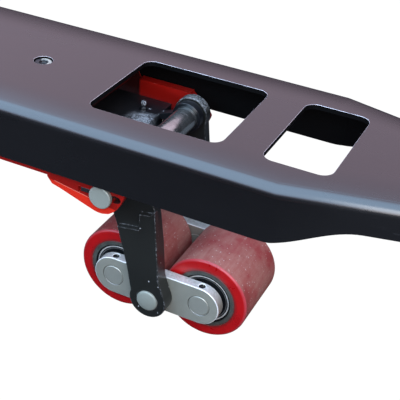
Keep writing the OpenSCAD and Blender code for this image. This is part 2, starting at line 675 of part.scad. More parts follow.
module steer_tyre() color("#3a3d42") translate([0, pump_y, wheel_h]) rotate([0, 90, 0]) rotate_extrude() polygon(concat(
  [[wheel_h - steer_tyre_t, wheel_in]], arc([wheel_h - 6, wheel_in + 6], 6, -90, 0, 4),
  arc([wheel_h - 6, wheel_out - 6], 6, 0, 90, 4), [[wheel_h - steer_tyre_t, wheel_out]]));
module steer_hub() color(silver) translate([0, pump_y, wheel_h]) rotate([0, 90, 0]) {
  rim = wheel_h - steer_tyre_t;
  rotate_extrude() polygon([[bearing_d / 2 + run, wheel_in], [bearing_d / 2 + 8, wheel_in], [bearing_d / 2 + 8, wheel_in + 18],
    [rim - 8, wheel_in + 18], [rim - 8, wheel_in + 1], [rim, wheel_in + 1], [rim, wheel_out - 1], [rim - 8, wheel_out - 1],
    [rim - 8, wheel_out - 18], [bearing_d / 2 + 8, wheel_out - 18], [bearing_d / 2 + 8, wheel_out],
    [bearing_d / 2 + run, wheel_out]]);
}

// Handle

module handle_pins() color(silver) for (flip = [0, 1]) mirror([flip, 0, 0])
  translate([socket_in - 1, handle_y, handle_z]) rotate([0, 90, 0])
    cylinder(h = ear_in + pump_ear_t + 3 - socket_in + 1, d = handle_pin_d);
cam_y = cam_r * cos(cam_deg);
cam_z = cam_r * sin(cam_deg);
module handle_socket() color(red) difference() {
  union() {
    both_sides(socket_in, ear_in - gap) polygon(concat(arc([handle_y, handle_z], socket_r, 180, 360, 16),
      [[handle_y + socket_r, handle_z + 60], [handle_y - socket_r, handle_z + 60]]));
    translate([gap - ear_in, handle_y - socket_r, handle_z + 36]) cube([2 * (ear_in - gap), 2 * socket_r, 26]);
    translate([0, handle_y, handle_z + 36]) cylinder(h = 80, d = handle_d + 14);
  }
  translate([-overall_w / 2, handle_y, handle_z]) rotate([0, 90, 0]) cylinder(h = overall_w, d = handle_pin_d + 2 * run);
  translate([-overall_w / 2, handle_y + cam_y, handle_z + cam_z]) rotate([0, 90, 0]) cylinder(h = overall_w, d = 8);
  translate([0, handle_y, handle_z]) cylinder(h = 200, d = handle_d);
}
module cam_roller() color(silver) translate([0, handle_y + cam_y, handle_z + cam_z]) rotate([0, 90, 0]) {
  translate([0, 0, 1 - ear_in]) cylinder(h = 2 * ear_in - 2, d = 8);
  translate([0, 0, -12]) cylinder(h = 24, d = cam_d);
}
module pump_plunger() color(silver) translate([0, plunger_y, 0]) {
  top = handle_z + cam_z - cam_d / 2 - 0.4;
  translate([0, 0, tank_z + 22 + 8]) cylinder(h = top - tank_z - 30, d = plunger_d);
  translate([0, 0, top - 8]) cylinder(h = 8, d = plunger_d + 12);
}
module handle_tube() color(red) translate([0, handle_y, 0]) difference() {
  translate([0, 0, handle_z + 38]) cylinder(h = loop_z + 30 - handle_z - 38, d = handle_d);
  translate([0, 0, handle_z]) cylinder(h = loop_h + loop_z, d = handle_d - 8);
}
loop_bar = 26;
module handle_loop() color(black) translate([0, handle_y, loop_z + loop_h / 2]) difference() {
  rotate([90, 0, 0]) translate([0, 0, -loop_t / 2]) linear_extrude(loop_t) union() {
    difference() {
      polygon(rounded(loop_w, loop_h, 55, 10));
      polygon(rounded(loop_w - 2 * loop_bar, loop_h - 2 * loop_bar, 32, 10));
    }
    translate([-38, -loop_h / 2 + 2]) square([76, 74]);
    translate([-30, -loop_h / 2 - 34]) square([60, 40]);
  }
  translate([0, 0, -loop_h / 2 - 40]) cylinder(h = 70, d = handle_d);
  translate([-7, -loop_t, -loop_h / 2 + 28]) cube([14, 2 * loop_t, 60]);
  lever_bore(lever_pin_d + 2 * run);
}
lever_z = 52;
lever_pin_d = 7;
lever_back = 8;
lever_foot = 6;
module lever_bore(d) translate([-30, -lever_back, lever_z - loop_h / 2]) rotate([0, 90, 0]) cylinder(h = 60, d = d);
module control_lever() color(grey) translate([0, handle_y, loop_z + loop_h / 2]) {
  lever_bore(lever_pin_d);
  translate([-6, 0, lever_z - loop_h / 2]) rotate([90, 0, 90]) linear_extrude(12) {
    polygon([[-lever_back - 6, -lever_foot], [9, -lever_foot], [6, 62], [-6, 62]]);
    translate([0, 62]) circle(d = 18);
  }
}
module release_rod() color(steel) translate([0, handle_y, handle_z + 44]) {
  top = loop_z + lever_z - lever_foot - 0.5 - release_d / 2 - handle_z - 44;
  cylinder(h = top, d = release_d);
  translate([0, 0, top]) sphere(d = release_d);
}
release_d = 6;

// Scale head

post_back = 150;
post_y = pump_y - post_back;
indicator_drop = 360;
indicator_z = handle_top - indicator_drop;
post_d = 30;
foot_w = 90;
foot_l = 60;
foot_t = 8;
module indicator_post() color(sheet_black) difference() {
  post();
  at_indicator() translate([-indicator_w / 2, -indicator_t / 2, -indicator_h])
    cube([indicator_w, indicator_h, 2 * indicator_h]);
}
module post() translate([0, post_y, neck_top]) {
  linear_extrude(foot_t) polygon(rounded(foot_w, foot_l, 6));
  translate([0, 0, foot_t - eps]) cylinder(h = indicator_z - neck_top - foot_t, d = post_d);
}
module at_indicator() translate([0, post_y, indicator_z]) rotate([indicator_tilt, 0, 0])
  children();
case_wall = 5;
case_r = 12;
front_t = 8;
panel_in = 3;
module case_slab(y, t, inset) translate([0, y, 0]) rotate([90, 0, 0]) translate([0, 0, -indicator_t / 2])
  linear_extrude(t) polygon(rounded(indicator_w - 2 * inset, indicator_h - 2 * inset, case_r - inset / 2));
module indicator_case() color(sheet_black) at_indicator() difference() {
  case_slab(-front_t, indicator_t - front_t, 0);
  case_slab(-front_t + eps, indicator_t - front_t - case_wall, case_wall);
}
// The display and the keys lie in two pockets of the front
panel_side = 30;
panel_w = indicator_w - 2 * panel_side;
display_h = indicator_h / 3;
keys_h = 40 * indicator_h / 150;
display_low = indicator_h / 30;
keys_low = display_low - 1.5 * keys_h;
module panel(low, h, y, t) translate([-panel_w / 2, indicator_t / 2 - y, low]) cube([panel_w, t, h]);
module indicator_front() color(grey) at_indicator() difference() {
  case_slab(0, front_t, 0);
  panel(display_low, display_h, panel_in, front_t);
  panel(keys_low, keys_h, panel_in, front_t);
}
module display_window() color([0.4, 0.5, 0.4]) at_indicator() panel(display_low, display_h, panel_in, panel_in);
module keypad() color(steel) at_indicator() {
  panel(keys_low, keys_h, panel_in, panel_in / 2);
  for (i = [-2:2]) translate([i * panel_w / 5, indicator_t / 2 - panel_in / 2 - eps, keys_low + keys_h / 2])
    rotate([-90, 0, 0]) cylinder(h = 2.5, d = keys_h / 2);
}
battery_w = 180;
battery_h = 120;
battery_t = 50;
battery_drop = 169;
battery_z = neck_top - battery_drop;
module battery_box() color(sheet_black) translate([0, plate_y, battery_z]) rotate([-90, 0, 0])
  linear_extrude(battery_t) polygon(rounded(battery_w, battery_h, 10));
module cable_glands() color(black) both_ways() translate([battery_w / 3, plate_y + battery_t / 2,
  battery_z + battery_h / 2 - eps]) gland();
module both_ways() for (flip = [0, 1]) mirror([flip, 0, 0]) children();
module gland() { cylinder(h = 5, d = 20, $fn = 6); cylinder(h = 18, d = 15); }

head_frame();
on_fork(1) inner_fork();  // inner_fork_left
on_fork(-1) inner_fork();  // inner_fork_right
on_fork(1) fork_cover();  // fork_cover_left
on_fork(-1) fork_cover();  // fork_cover_right
load_cells();
load_cell_screws();
cover_screws();
pivot_shafts();
pin_keepers();
piston_rod();
indicator_post();
indicator_case();
indicator_front();
display_window();
keypad();
battery_box();
cable_glands();
lift_bracket();
thrust_bearing();
pump_base();
oil_tank();
wheel_axle();
steer_bearings();
handle_pins();
steer_tyre();  // steer_tyre_left
mirror([1, 0, 0]) steer_tyre();  // steer_tyre_right
steer_hub();  // steer_hub_left
mirror([1, 0, 0]) steer_hub();  // steer_hub_right
handle_socket();
handle_tube();
handle_loop();
cam_roller();
control_lever();
release_rod();
pump_plunger();
rocker();
on_fork(1) push_rod();  // push_rod_left
on_fork(-1) push_rod();  // push_rod_right
on_fork(1) carrier();  // carrier_left
on_fork(-1) carrier();  // carrier_right
on_fork(1) push_shaft();  // push_shaft_left
on_fork(-1) push_shaft();  // push_shaft_right
on_fork(1) bogie_pins();  // bogie_pins_left
on_fork(-1) bogie_pins();  // bogie_pins_right
on_fork(1) bogie_links();  // bogie_links_left
on_fork(-1) bogie_links();  // bogie_links_right
on_fork(1) roller_axles();  // roller_axles_left
on_fork(-1) roller_axles();  // roller_axles_right
on_fork(1) roller_bearings();  // roller_bearings_left
on_fork(-1) roller_bearings();  // roller_bearings_right
on_fork(1) tyre(0.5);  // tyre_front_left
on_fork(1) tyre(-0.5);  // tyre_rear_left
on_fork(-1) tyre(0.5);  // tyre_front_right
on_fork(-1) tyre(-0.5);  // tyre_rear_right
on_fork(1) core(0.5);  // core_front_left
on_fork(1) core(-0.5);  // core_rear_left
on_fork(-1) core(0.5);  // core_front_right
on_fork(-1) core(-0.5);  // core_rear_right
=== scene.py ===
# Scale pallet truck: finishes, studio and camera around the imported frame
import json
import math

import bmesh
import bpy
from mathutils import Matrix, Vector

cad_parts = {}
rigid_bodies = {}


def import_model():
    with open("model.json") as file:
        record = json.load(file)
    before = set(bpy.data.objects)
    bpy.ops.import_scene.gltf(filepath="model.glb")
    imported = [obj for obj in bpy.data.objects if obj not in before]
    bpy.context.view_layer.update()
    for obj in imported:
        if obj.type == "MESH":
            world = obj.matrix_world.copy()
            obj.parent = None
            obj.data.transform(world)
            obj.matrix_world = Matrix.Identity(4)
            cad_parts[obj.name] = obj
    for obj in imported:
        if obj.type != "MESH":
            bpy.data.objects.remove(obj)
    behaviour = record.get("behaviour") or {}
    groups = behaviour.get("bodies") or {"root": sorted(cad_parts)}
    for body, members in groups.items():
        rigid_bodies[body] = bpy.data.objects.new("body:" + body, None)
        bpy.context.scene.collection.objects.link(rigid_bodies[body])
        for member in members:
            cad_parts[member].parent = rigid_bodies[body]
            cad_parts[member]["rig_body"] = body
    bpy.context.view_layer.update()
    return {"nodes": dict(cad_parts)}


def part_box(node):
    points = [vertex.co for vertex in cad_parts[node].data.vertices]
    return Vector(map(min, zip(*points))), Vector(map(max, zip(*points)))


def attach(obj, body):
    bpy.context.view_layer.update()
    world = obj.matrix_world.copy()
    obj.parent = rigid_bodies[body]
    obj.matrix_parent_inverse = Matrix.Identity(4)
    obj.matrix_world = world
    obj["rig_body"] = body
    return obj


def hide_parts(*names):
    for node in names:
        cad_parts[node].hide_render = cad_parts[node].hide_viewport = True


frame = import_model()
nodes = frame["nodes"]
mm = 0.001
hands = (("left", 1), ("right", -1))

coverSheet = {  # millimetres, degrees and numbers of steps
    "width": 177.0, "thickness": 4.5, "bend": 9.5, "depth": 49.0, "tipDepth": 27.5, "length": 1150.0,
    "datum": 292.0, "taper": 112.0, "lean": 14.0, "riseStart": 10.0, "riseLength": 75.0,
    "cornerRadius": 10.0, "windows": ((0.0, 119.0, 106.2), (153.0, 56.0, 107.8)), "windowRadius": 10.0,
    "screws": (-76.0, -782.0), "screwHole": 8.5, "cutRound": 0.55, "stations": (-400.0, 0.0),
    "bendSteps": 10, "riseSteps": 18, "arcSteps": 8, "holeSteps": 48,
}
coverLow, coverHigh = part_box("fork_cover_left")
forkX = (coverLow.x + coverHigh.x) / 2  # middle of the photographed fork
topZ = coverHigh.z  # fork top above the floor
datumY = coverLow.y + coverSheet["datum"] * mm  # rear edge of the long window


def forkPoint(s, t, z, side=1):
    # s ahead of the long window, t towards the truck's middle, z over the fork top, all in millimetres
    return Vector((side * (forkX - t * mm), datumY - s * mm, topZ + z * mm))


def addObject(name, data):
    piece = bpy.data.objects.new(name, data)
    bpy.context.scene.collection.objects.link(piece)
    return piece


def addMesh(bm, name):
    mesh = bpy.data.meshes.new(name)
    bm.to_mesh(mesh)
    bm.free()
    return addObject(name, mesh)


# Nodes: an input takes a number, a colour, a vector or another node's output

def put(net, socket, value):
    if isinstance(value, bpy.types.NodeSocket):
        net.links.new(value, socket)
    else:
        socket.default_value = (*value, 1.0) if socket.type == "RGBA" else value


def addNode(net, kind, inputs=None, **settings):
    node = net.nodes.new(kind)
    for key, value in settings.items():
        setattr(node, key, value)
    for key, value in (inputs or {}).items():
        put(net, node.inputs[key], value)
    return node


def maths(net, op, a, b=0.0, clamp=False):
    return addNode(net, "ShaderNodeMath", {0: a, 1: b}, operation=op, use_clamp=clamp).outputs[0]


def times(net, a, b, clamp=False):
    return maths(net, "MULTIPLY", a, b, clamp)


def vectorMath(net, op, *values):
    node = addNode(net, "ShaderNodeVectorMath", dict(enumerate(values)), operation=op)
    return node.outputs["Value" if op in ("DOT_PRODUCT", "LENGTH", "DISTANCE") else "Vector"]


def separate(net, vector):
    return addNode(net, "ShaderNodeSeparateXYZ", {0: vector}).outputs


def mapRange(net, value, low, high, toLow=0.0, toHigh=1.0, shape="LINEAR"):
    inputs = {"Value": value, "From Min": low, "From Max": high, "To Min": toLow, "To Max": toHigh}
    return addNode(net, "ShaderNodeMapRange", inputs, interpolation_type=shape).outputs[0]


def objectCoords(net):
    return addNode(net, "ShaderNodeTexCoord").outputs["Object"]


def noise(net, vector, scale, detail=3.0, rough=0.55):
    inputs = {"Vector": vector, "Scale": scale, "Detail": detail, "Roughness": rough}
    return addNode(net, "ShaderNodeTexNoise", inputs).outputs["Fac"]


def shaken(net, vector, reach, scale, detail=2.0):
    # Coordinates pushed about by noise, up to a reach in metres
    push = addNode(net, "ShaderNodeTexNoise", {"Vector": vector, "Scale": scale, "Detail": detail})
    return vectorMath(net, "MULTIPLY_ADD", push.outputs["Color"], (reach, reach, reach), vector)


def mixColour(net, share, a, b):
    return addNode(net, "ShaderNodeMix", {0: share, 6: a, 7: b}, data_type="RGBA").outputs[2]


# Camera and studio

cameraSet = {
    "place": (349.8, 618.8, 342.8),  # in forkPoint's millimetres
    "azimuth": 66.76,
    "down": 32.84,
    "roll": 4.59,
    "lens": 82.38,
    "sensor": 36.0,
    "clipStart": 0.01,
}
studio = {
    "floorReach": 14.0,
    "floorDrop": 0.0005,
    "floorSeen": 0.93,  # share of plain white in what the camera sees of the floor
    "floorGlow": 1.10,
    "floorGrey": (0.05, 0.05, 0.05),
    "backdrop": 1.02,
    "skyLow": 0.02,  # light from the horizon
    "skyMid": 0.96,  # from the sky that the fork's top mirrors
    "lowEdge": (0.10, 0.36),  # heights, as a sine, over which the sky brightens
    "skyWarm": (1.0, 0.78, 0.96),
    "coolMiddle": (-0.40, 0.33, 0.855),  # where the bright cool part of the sky is
    "coolReach": (0.34, 0.90),  # cosines of its outer and inner edge
    "coolFoot": (0.24, 0.38),  # heights over which it fades to the horizon
    "coolLevel": 3.6,
    "skyCool": (0.35, 0.66, 0.95),
    "keyTarget": (60, 0, 0),  # in forkPoint's millimetres
    "keyAway": (-1.7, -1.0, 1.15),  # metres from there
    "keyPower": 30.0,
    "keySize": 1.6,
    "keyColour": (1.0, 0.98, 0.97),
}


def placeCamera():
    az, down, roll = (math.radians(cameraSet[angle]) for angle in ("azimuth", "down", "roll"))
    forward = Vector((math.sin(az) * math.cos(down), math.cos(az) * math.cos(down), -math.sin(down)))
    right = forward.cross(Vector((0, 0, 1))).normalized()
    up = right.cross(forward)
    turnedRight = math.cos(roll) * right + math.sin(roll) * up
    turnedUp = -math.sin(roll) * right + math.cos(roll) * up
    data = bpy.data.cameras.new("camera")
    data.lens = cameraSet["lens"]
    data.sensor_width = cameraSet["sensor"]
    data.sensor_fit = "HORIZONTAL"
    data.clip_start = cameraSet["clipStart"]
    cam = addObject("camera", data)
    turn = Matrix((turnedRight, turnedUp, -forward)).transposed()
    cam.matrix_world = Matrix.Translation(forkPoint(*cameraSet["place"])) @ turn.to_4x4()
    bpy.context.scene.camera = cam


def seenAndLit(net, outKind, share, seen, lit):
    # The camera sees one shader and everything else gets the other
    path = addNode(net, "ShaderNodeLightPath").outputs["Is Camera Ray"]
    shaders = {0: times(net, path, share), 1: lit.outputs[0], 2: seen.outputs[0]}
    addNode(net, outKind, {0: addNode(net, "ShaderNodeMixShader", shaders).outputs[0]})


def buildSky():
    # The camera sees a white backdrop, and a soft sky lights the truck: dark at the horizon, greyish pink
    # higher up, with a bright cool part on the side of the fork's inner wall
    world = bpy.data.worlds.new("studio")
    bpy.context.scene.world = world
    world.use_nodes = True
    net = world.node_tree
    net.nodes.clear()
    way = objectCoords(net)
    height = separate(net, way)["Z"]
    side = vectorMath(net, "DOT_PRODUCT", way, Vector(studio["coolMiddle"]).normalized())
    warm = mapRange(net, height, *studio["lowEdge"], studio["skyLow"], studio["skyMid"], "SMOOTHSTEP")
    patch = mapRange(net, side, *studio["coolReach"], shape="SMOOTHSTEP")
    over = mapRange(net, height, *studio["coolFoot"], 0.0, studio["coolLevel"], "SMOOTHSTEP")
    warmLight = vectorMath(net, "MULTIPLY", warm, studio["skyWarm"])
    coolLight = vectorMath(net, "MULTIPLY", times(net, patch, over), studio["skyCool"])
    lit = addNode(net, "ShaderNodeBackground", {"Color": vectorMath(net, "ADD", warmLight, coolLight)})
    seen = addNode(net, "ShaderNodeBackground", {"Color": (1, 1, 1), "Strength": studio["backdrop"]})
    seenAndLit(net, "ShaderNodeOutputWorld", 1.0, seen, lit)


def buildFloor():
    bm = bmesh.new()
    reach = studio["floorReach"]
    corners = ((-1, -1), (1, -1), (1, 1), (-1, 1))
    bm.faces.new([bm.verts.new((x * reach, y * reach, -studio["floorDrop"])) for x, y in corners])
    floor = addMesh(bm, "floor")
    paper = bpy.data.materials.new("floorPaper")
    paper.use_nodes = True
    net = paper.node_tree
    net.nodes.clear()
    seen = addNode(net, "ShaderNodeEmission", {"Strength": studio["floorGlow"]})
    lit = addNode(net, "ShaderNodeBsdfDiffuse", {"Color": studio["floorGrey"]})
    seenAndLit(net, "ShaderNodeOutputMaterial", studio["floorSeen"], seen, lit)
    floor.data.materials.append(paper)


def placeLight():
    target = forkPoint(*studio["keyTarget"])
    place = target + Vector(studio["keyAway"])
    data = bpy.data.lights.new("key", "AREA")
    data.energy = studio["keyPower"]
    data.size = studio["keySize"]
    data.color = studio["keyColour"]
    lamp = addObject("key", data)
    lamp.location = place
    lamp.rotation_euler = (target - place).to_track_quat("-Z", "Y").to_euler()


placeCamera()
buildSky()
buildFloor()
placeLight()
bpy.context.scene.view_settings.view_transform = "Standard"
print("camera and studio ready")


# Shader groups shared by the finishes

groupLook = {
    "wholeEdge": 0.985,  # the cosine between the rounded and the true normal where wear begins
    "wornEdge": 0.80,
    "chipSoft": 0.12,
    "speckBend": (0.004, 260.0),  # metres, and the scale of the noise that does it
    "speckRim": (0.25, 0.55),
    "dustUp": (0.1, 1.0),
    "dustScale": 38.0,
    "dustPatch": (0.35, 0.75),
}


def newGroup(name, output, **inputs):
    group = bpy.data.node_groups.new(name, "ShaderNodeTree")
    for label, value in inputs.items():
        kind = "NodeSocketVector" if isinstance(value, tuple) else "NodeSocketFloat"
        group.interface.new_socket(label, in_out="INPUT", socket_type=kind).default_value = value
    group.interface.new_socket(output, in_out="OUTPUT", socket_type="NodeSocketFloat")
    start = addNode(group, "NodeGroupInput").outputs
    end = addNode(group, "NodeGroupOutput").inputs[output]
    return group, start, end


def buildEdgeWear():
    # Worn edges: where a rounded normal leaves the true one, broken up by noise
    group, start, end = newGroup("edgeWear", "Mask", Radius=0.0015, Amount=0.5, Grain=300.0)
    rounded = addNode(group, "ShaderNodeBevel", {"Radius": start["Radius"]}, samples=4).outputs[0]
    flat = addNode(group, "ShaderNodeNewGeometry").outputs["True Normal"]
    same = vectorMath(group, "DOT_PRODUCT", rounded, flat)
    edge = mapRange(group, same, groupLook["wholeEdge"], groupLook["wornEdge"])
    broken = noise(group, objectCoords(group), start["Grain"], 4.0, 0.65)
    level = maths(group, "SUBTRACT", 1.0, start["Amount"])
    chips = mapRange(group, broken, level, maths(group, "ADD", level, groupLook["chipSoft"]))
    put(group, end, times(group, edge, chips, True))
    return group


def buildSpecks():
    # Small chips and dust flecks scattered over a surface
    group, start, end = newGroup("specks", "Mask", Scale=120.0, Size=0.12, Share=0.25)
    coords = shaken(group, objectCoords(group), *groupLook["speckBend"])
    cells = addNode(group, "ShaderNodeTexVoronoi", {"Scale": start["Scale"], "Vector": coords}).outputs
    near = mapRange(group, cells["Distance"], start["Size"], 0.0)
    draw = addNode(group, "ShaderNodeSeparateColor", {0: cells["Color"]}).outputs[0]
    chosen = maths(group, "LESS_THAN", draw, start["Share"])
    put(group, end, times(group, mapRange(group, near, *groupLook["speckRim"]), chosen, True))
    return group


def buildGrain():
    # Fine lines along one direction, as left by drawing, brushing or turning
    group, start, end = newGroup("grain", "Value", Stretch=(1.0, 0.02, 1.0), Scale=900.0)
    coords = vectorMath(group, "MULTIPLY", objectCoords(group), start["Stretch"])
    put(group, end, noise(group, coords, start["Scale"], 4.0, 0.6))
    return group


def buildDust():
    # Dust that settles on what faces up, thicker in broad patches
    group, start, end = newGroup("dust", "Mask", Amount=0.3)
    facing = separate(group, addNode(group, "ShaderNodeNewGeometry").outputs["Normal"])
    up = mapRange(group, facing["Z"], *groupLook["dustUp"])
    patches = noise(group, objectCoords(group), groupLook["dustScale"], 5.0, 0.7)
    cloud = mapRange(group, patches, *groupLook["dustPatch"])
    put(group, end, times(group, times(group, up, cloud), start["Amount"], True))
    return group


groups = {"edgeWear": buildEdgeWear(), "specks": buildSpecks(), "grain": buildGrain(), "dust": buildDust()}
print("shader groups ready")


# Finishes: a noise call gives its scale, detail and roughness, and a bump its strength and its depth

wobbleNoise = (170.0, 5.0)


def placeGroup(net, name, **values):
    return addNode(net, "ShaderNodeGroup", values, node_tree=groups[name]).outputs[0]


def newFinish(name):
    mat = bpy.data.materials.new(name)
    mat.use_nodes = True
    return mat, mat.node_tree, objectCoords(mat.node_tree)


def feed(mat, inputs):
    net = mat.node_tree
    for label, value in inputs.items():
        put(net, net.nodes["Principled BSDF"].inputs[label], value)
    return mat


def bumped(net, height, strength, distance, **under):
    inputs = {"Strength": strength, "Distance": distance, "Height": height, **under}
    return addNode(net, "ShaderNodeBump", inputs).outputs[0]


def nearPoint(net, point, low, high, axes=(1.0, 1.0, 1.0), wobble=0.0):
    # 1 within the low distance of a point, in metres, fading to 0 at the high one
    coords = objectCoords(net)
    if wobble:
        coords = shaken(net, coords, wobble, *wobbleNoise)
        point = point + Vector((wobble, wobble, wobble)) / 2
    flat = vectorMath(net, "MULTIPLY", vectorMath(net, "SUBTRACT", coords, point), axes)
    return mapRange(net, vectorMath(net, "LENGTH", flat), high, low)


def axleRadius(net, places):
    # Distance from the nearest of some axles that run across the truck, in metres
    flat = vectorMath(net, "MULTIPLY", objectCoords(net), (0.0, 1.0, 1.0))
    away = [vectorMath(net, "DISTANCE", flat, (0.0, y, z)) for y, z in places]
    return away[0] if len(away) == 1 else maths(net, "MINIMUM", *away)


def band(net, value, low, high, soft=0.00012):
    # 1 between two values, with soft ends
    rise = mapRange(net, value, low - soft, low + soft)
    fall = mapRange(net, value, high + soft, high - soft)
    return times(net, rise, fall)


bearingLow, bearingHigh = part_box("roller_bearings_left")
bearingReach = (bearingHigh.z - bearingLow.z) / 2
axleZ = bearingLow.z + bearingReach
axlePlaces = [(bearingLow.y + bearingReach, axleZ), (bearingHigh.y - bearingReach, axleZ)]
pivotLow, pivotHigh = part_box("pivot_shafts")
pivot = (pivotLow + pivotHigh) / 2
shaftLow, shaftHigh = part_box("push_shaft_left")
shaftPlace = ((shaftLow.y + shaftHigh.y) / 2, (shaftLow.z + shaftHigh.z) / 2)

paint = {
    "cloudScale": 14.0,
    "dustColour": (0.34, 0.31, 0.29),
    "wear": {"Radius": 0.0014, "Grain": 420.0},
    "speckSize": 0.16,
    "scrapes": (620.0, 4.0, 0.75),
    "scrapeEdge": (0.46, 0.54),
    "coatRough": 0.12,
    "peelScale": 420.0,
    "peel": 0.12,
    "chipDepth": 0.5,
    "relief": (0.35, 0.0004),
}


def paintFinish(name, colour, dark, metal, rough, coat, chip, specks, dust, specular=0.5, speckScale=90.0,
                bareAndGlintAt=None, paintedLight=None):
    # Sprayed paint with orange peel, worn edges, small chips and a film of dust
    p = paint
    mat, net, coords = newFinish(name)
    cloud = mapRange(net, noise(net, coords, p["cloudScale"], 4.0), 0.3, 0.7)
    base = mixColour(net, cloud, dark, colour)
    dusty = mixColour(net, placeGroup(net, "dust", Amount=dust), base, p["dustColour"])
    wear = placeGroup(net, "edgeWear", Amount=chip, **p["wear"])
    fleck = placeGroup(net, "specks", Scale=speckScale, Size=p["speckSize"], Share=specks)
    bareAndGlint = maths(net, "MAXIMUM", wear, fleck)
    # the spots given here are worn bare metal and painted highlights
    if bareAndGlintAt:
        scraped = mapRange(net, noise(net, coords, *p["scrapes"]), *p["scrapeEdge"])
        bareAndGlint = maths(net, "MAXIMUM", bareAndGlint, times(net, bareAndGlintAt(net), scraped))
    shown = mixColour(net, bareAndGlint, dusty, metal)
    peel = times(net, noise(net, coords, p["peelScale"], 2.0), p["peel"])
    relief = maths(net, "SUBTRACT", peel, times(net, bareAndGlint, p["chipDepth"]))
    return feed(mat, {
        # a painted-light function, where given, puts painted shade and painted highlights into the colour
        "Base Color": paintedLight(net, shown, colour) if paintedLight else shown,
        "Roughness": mapRange(net, cloud, 0.0, 1.0, rough - 0.05, rough + 0.07),
        "Coat Weight": coat,
        "Coat Roughness": p["coatRough"],
        "Specular IOR Level": specular,
        "Normal": bumped(net, relief, *p["relief"]),
    })


rodWearAndGlint = (
    (forkPoint(12, -22, -43), 0.006, 0.015, (0.9, 0.8, 0.3), 0.012),  # a scraped patch on the rod's plate
    (forkPoint(4, -40, -35.5), 0.0031, 0.0037),  # a painted highlight on the tip of its grease nipple
)
hubWearAndGlint = {"rim": (0.0150, 0.0175, 0.0006), "over": (0.004, 0.010), "share": 0.45}


def rodScrapeAndGlint(net):
    # A scraped patch on the rod of the photographed fork, and a painted highlight on its grease nipple's
    # tip
    return maths(net, "MAXIMUM", *(nearPoint(net, *spot) for spot in rodWearAndGlint))


def hubScratchAndGlint(net):
    # Scratches on top of each carrier's hub, pale as worn bare metal and as a painted highlight on its rim
    rim = band(net, axleRadius(net, [shaftPlace]), *hubWearAndGlint["rim"])
    low, high = (shaftPlace[1] + over for over in hubWearAndGlint["over"])
    top = times(net, rim, mapRange(net, separate(net, objectCoords(net))["Z"], low, high))
    return times(net, top, hubWearAndGlint["share"])


# Painted light on each lug: 'dark' is painted shadow over the line, 'rim' painted light under it, 'line' a
# painted highlight
lugPaintedLight = {  # millimetres, ahead of the long window's edge and over the fork's top
    "ahead": -3.5, "height": -61.5, "fall": -0.163, "reach": (-12.0, 24.0, 1.0), "half": 0.35, "soft": 0.2,
    "lug": (-17.0, 48.0, 2.0), "lugTop": (30.0, 26.0), "edge": 0.6,
    "dark": (0.35, 0.3), "rim": (0.7, (0.88, 0.034, 0.012)), "line": (0.85, (1.0, 0.20, 0.14)),
}
# Painted shade: near-black on the walls inside the forks behind the lugs, and in the hole beside the
# pivot's head
wallPaintedShade = {  # metres
    "inside": (0.0792, 0.0786), "behind": (0.0165, 0.0195), "share": 0.93, "colour": (0.006, 0.004, 0.004),
    "hole": (pivot - Vector((0, 12.5 * mm, -0.5 * mm)), 0.0032, 0.0036, (0.0, 0.65, 1.0)),
}


def forkPaintedLight(net, shown, colour):
    # Painted on each lug: a highlight line across it, painted shadow over the line and painted light under
    # it.
    # Painted shade darkens the walls inside the forks, behind the lugs, and the hole beside the pivot's
    # head.
    c = lugPaintedLight
    place = separate(net, objectCoords(net))
    ahead = times(net, maths(net, "SUBTRACT", datumY, place["Y"]), 1 / mm)
    height = times(net, maths(net, "SUBTRACT", place["Z"], topZ), 1 / mm)
    along = times(net, maths(net, "SUBTRACT", ahead, c["ahead"]), c["fall"])
    over = maths(net, "SUBTRACT", maths(net, "SUBTRACT", height, c["height"]), along)
    nearLug = times(net, band(net, ahead, *c["lug"]), mapRange(net, over, *c["lugTop"]))
    upper = times(net, mapRange(net, over, 0.0, c["edge"]), nearLug)
    lower = times(net, mapRange(net, over, 0.0, -c["edge"]), nearLug)
    line = times(net, band(net, over, -c["half"], c["half"], c["soft"]), band(net, ahead, *c["reach"]))
    # upper gets painted shadow, lower gets painted light, and line is a painted highlight
    share, level = c["dark"]
    shown = mixColour(net, times(net, upper, share), shown, tuple(tone * level for tone in colour))
    for mask, (share, tone) in ((lower, c["rim"]), (line, c["line"])):
        shown = mixColour(net, times(net, mask, share), shown, tone)
    # painted shade where the cover keeps light off the walls, and in the hole beside the pivot
    g = wallPaintedShade
    across = maths(net, "ABSOLUTE", maths(net, "SUBTRACT", maths(net, "ABSOLUTE", place["X"]), forkX))
    behind = mapRange(net, place["Y"], *(datumY + reach for reach in g["behind"]))
    walls = times(net, mapRange(net, across, *g["inside"]), behind)
    wallShade = maths(net, "MAXIMUM", walls, nearPoint(net, *g["hole"]))
    return mixColour(net, times(net, wallShade, g["share"]), shown, g["colour"])


coverLook = {
    "black": ((0.0040, 0.0038, 0.0042), (0.0055, 0.0050, 0.0056)),
    "cloudStretch": (1.0, 0.4, 1.0),
    "scuffStretch": (1.0, 0.05, 1.0),
    "scuffEdge": (0.66, 0.80),
    "scuffShare": 0.35,
    "scuff": (0.075, 0.070, 0.075),
    "fleck": (0.34, 0.33, 0.36),
    "rough": (0.22, 0.29),
    "lineShare": 0.3,
    "relief": (0.08, 0.0002),
    # the sheet's inside, darker than its top as painted shade
    "inside": ((0.0010, 0.0011, 0.0012), (0.0022, 0.0023, 0.0025)),
    # the cut edges' pale colour is worn bare metal and a painted highlight
    "cutEdge": ((0.42, 0.38, 0.40), (0.85, 0.80, 0.82)),
    "cutMetal": (0.2, 0.7),
    "cutRough": (0.30, 0.45),
}
coverCrown = {"drop": 0.0030, "from": 0.046, "to": 0.080, "taperFrom": 0.180, "taperSlope": 0.249}


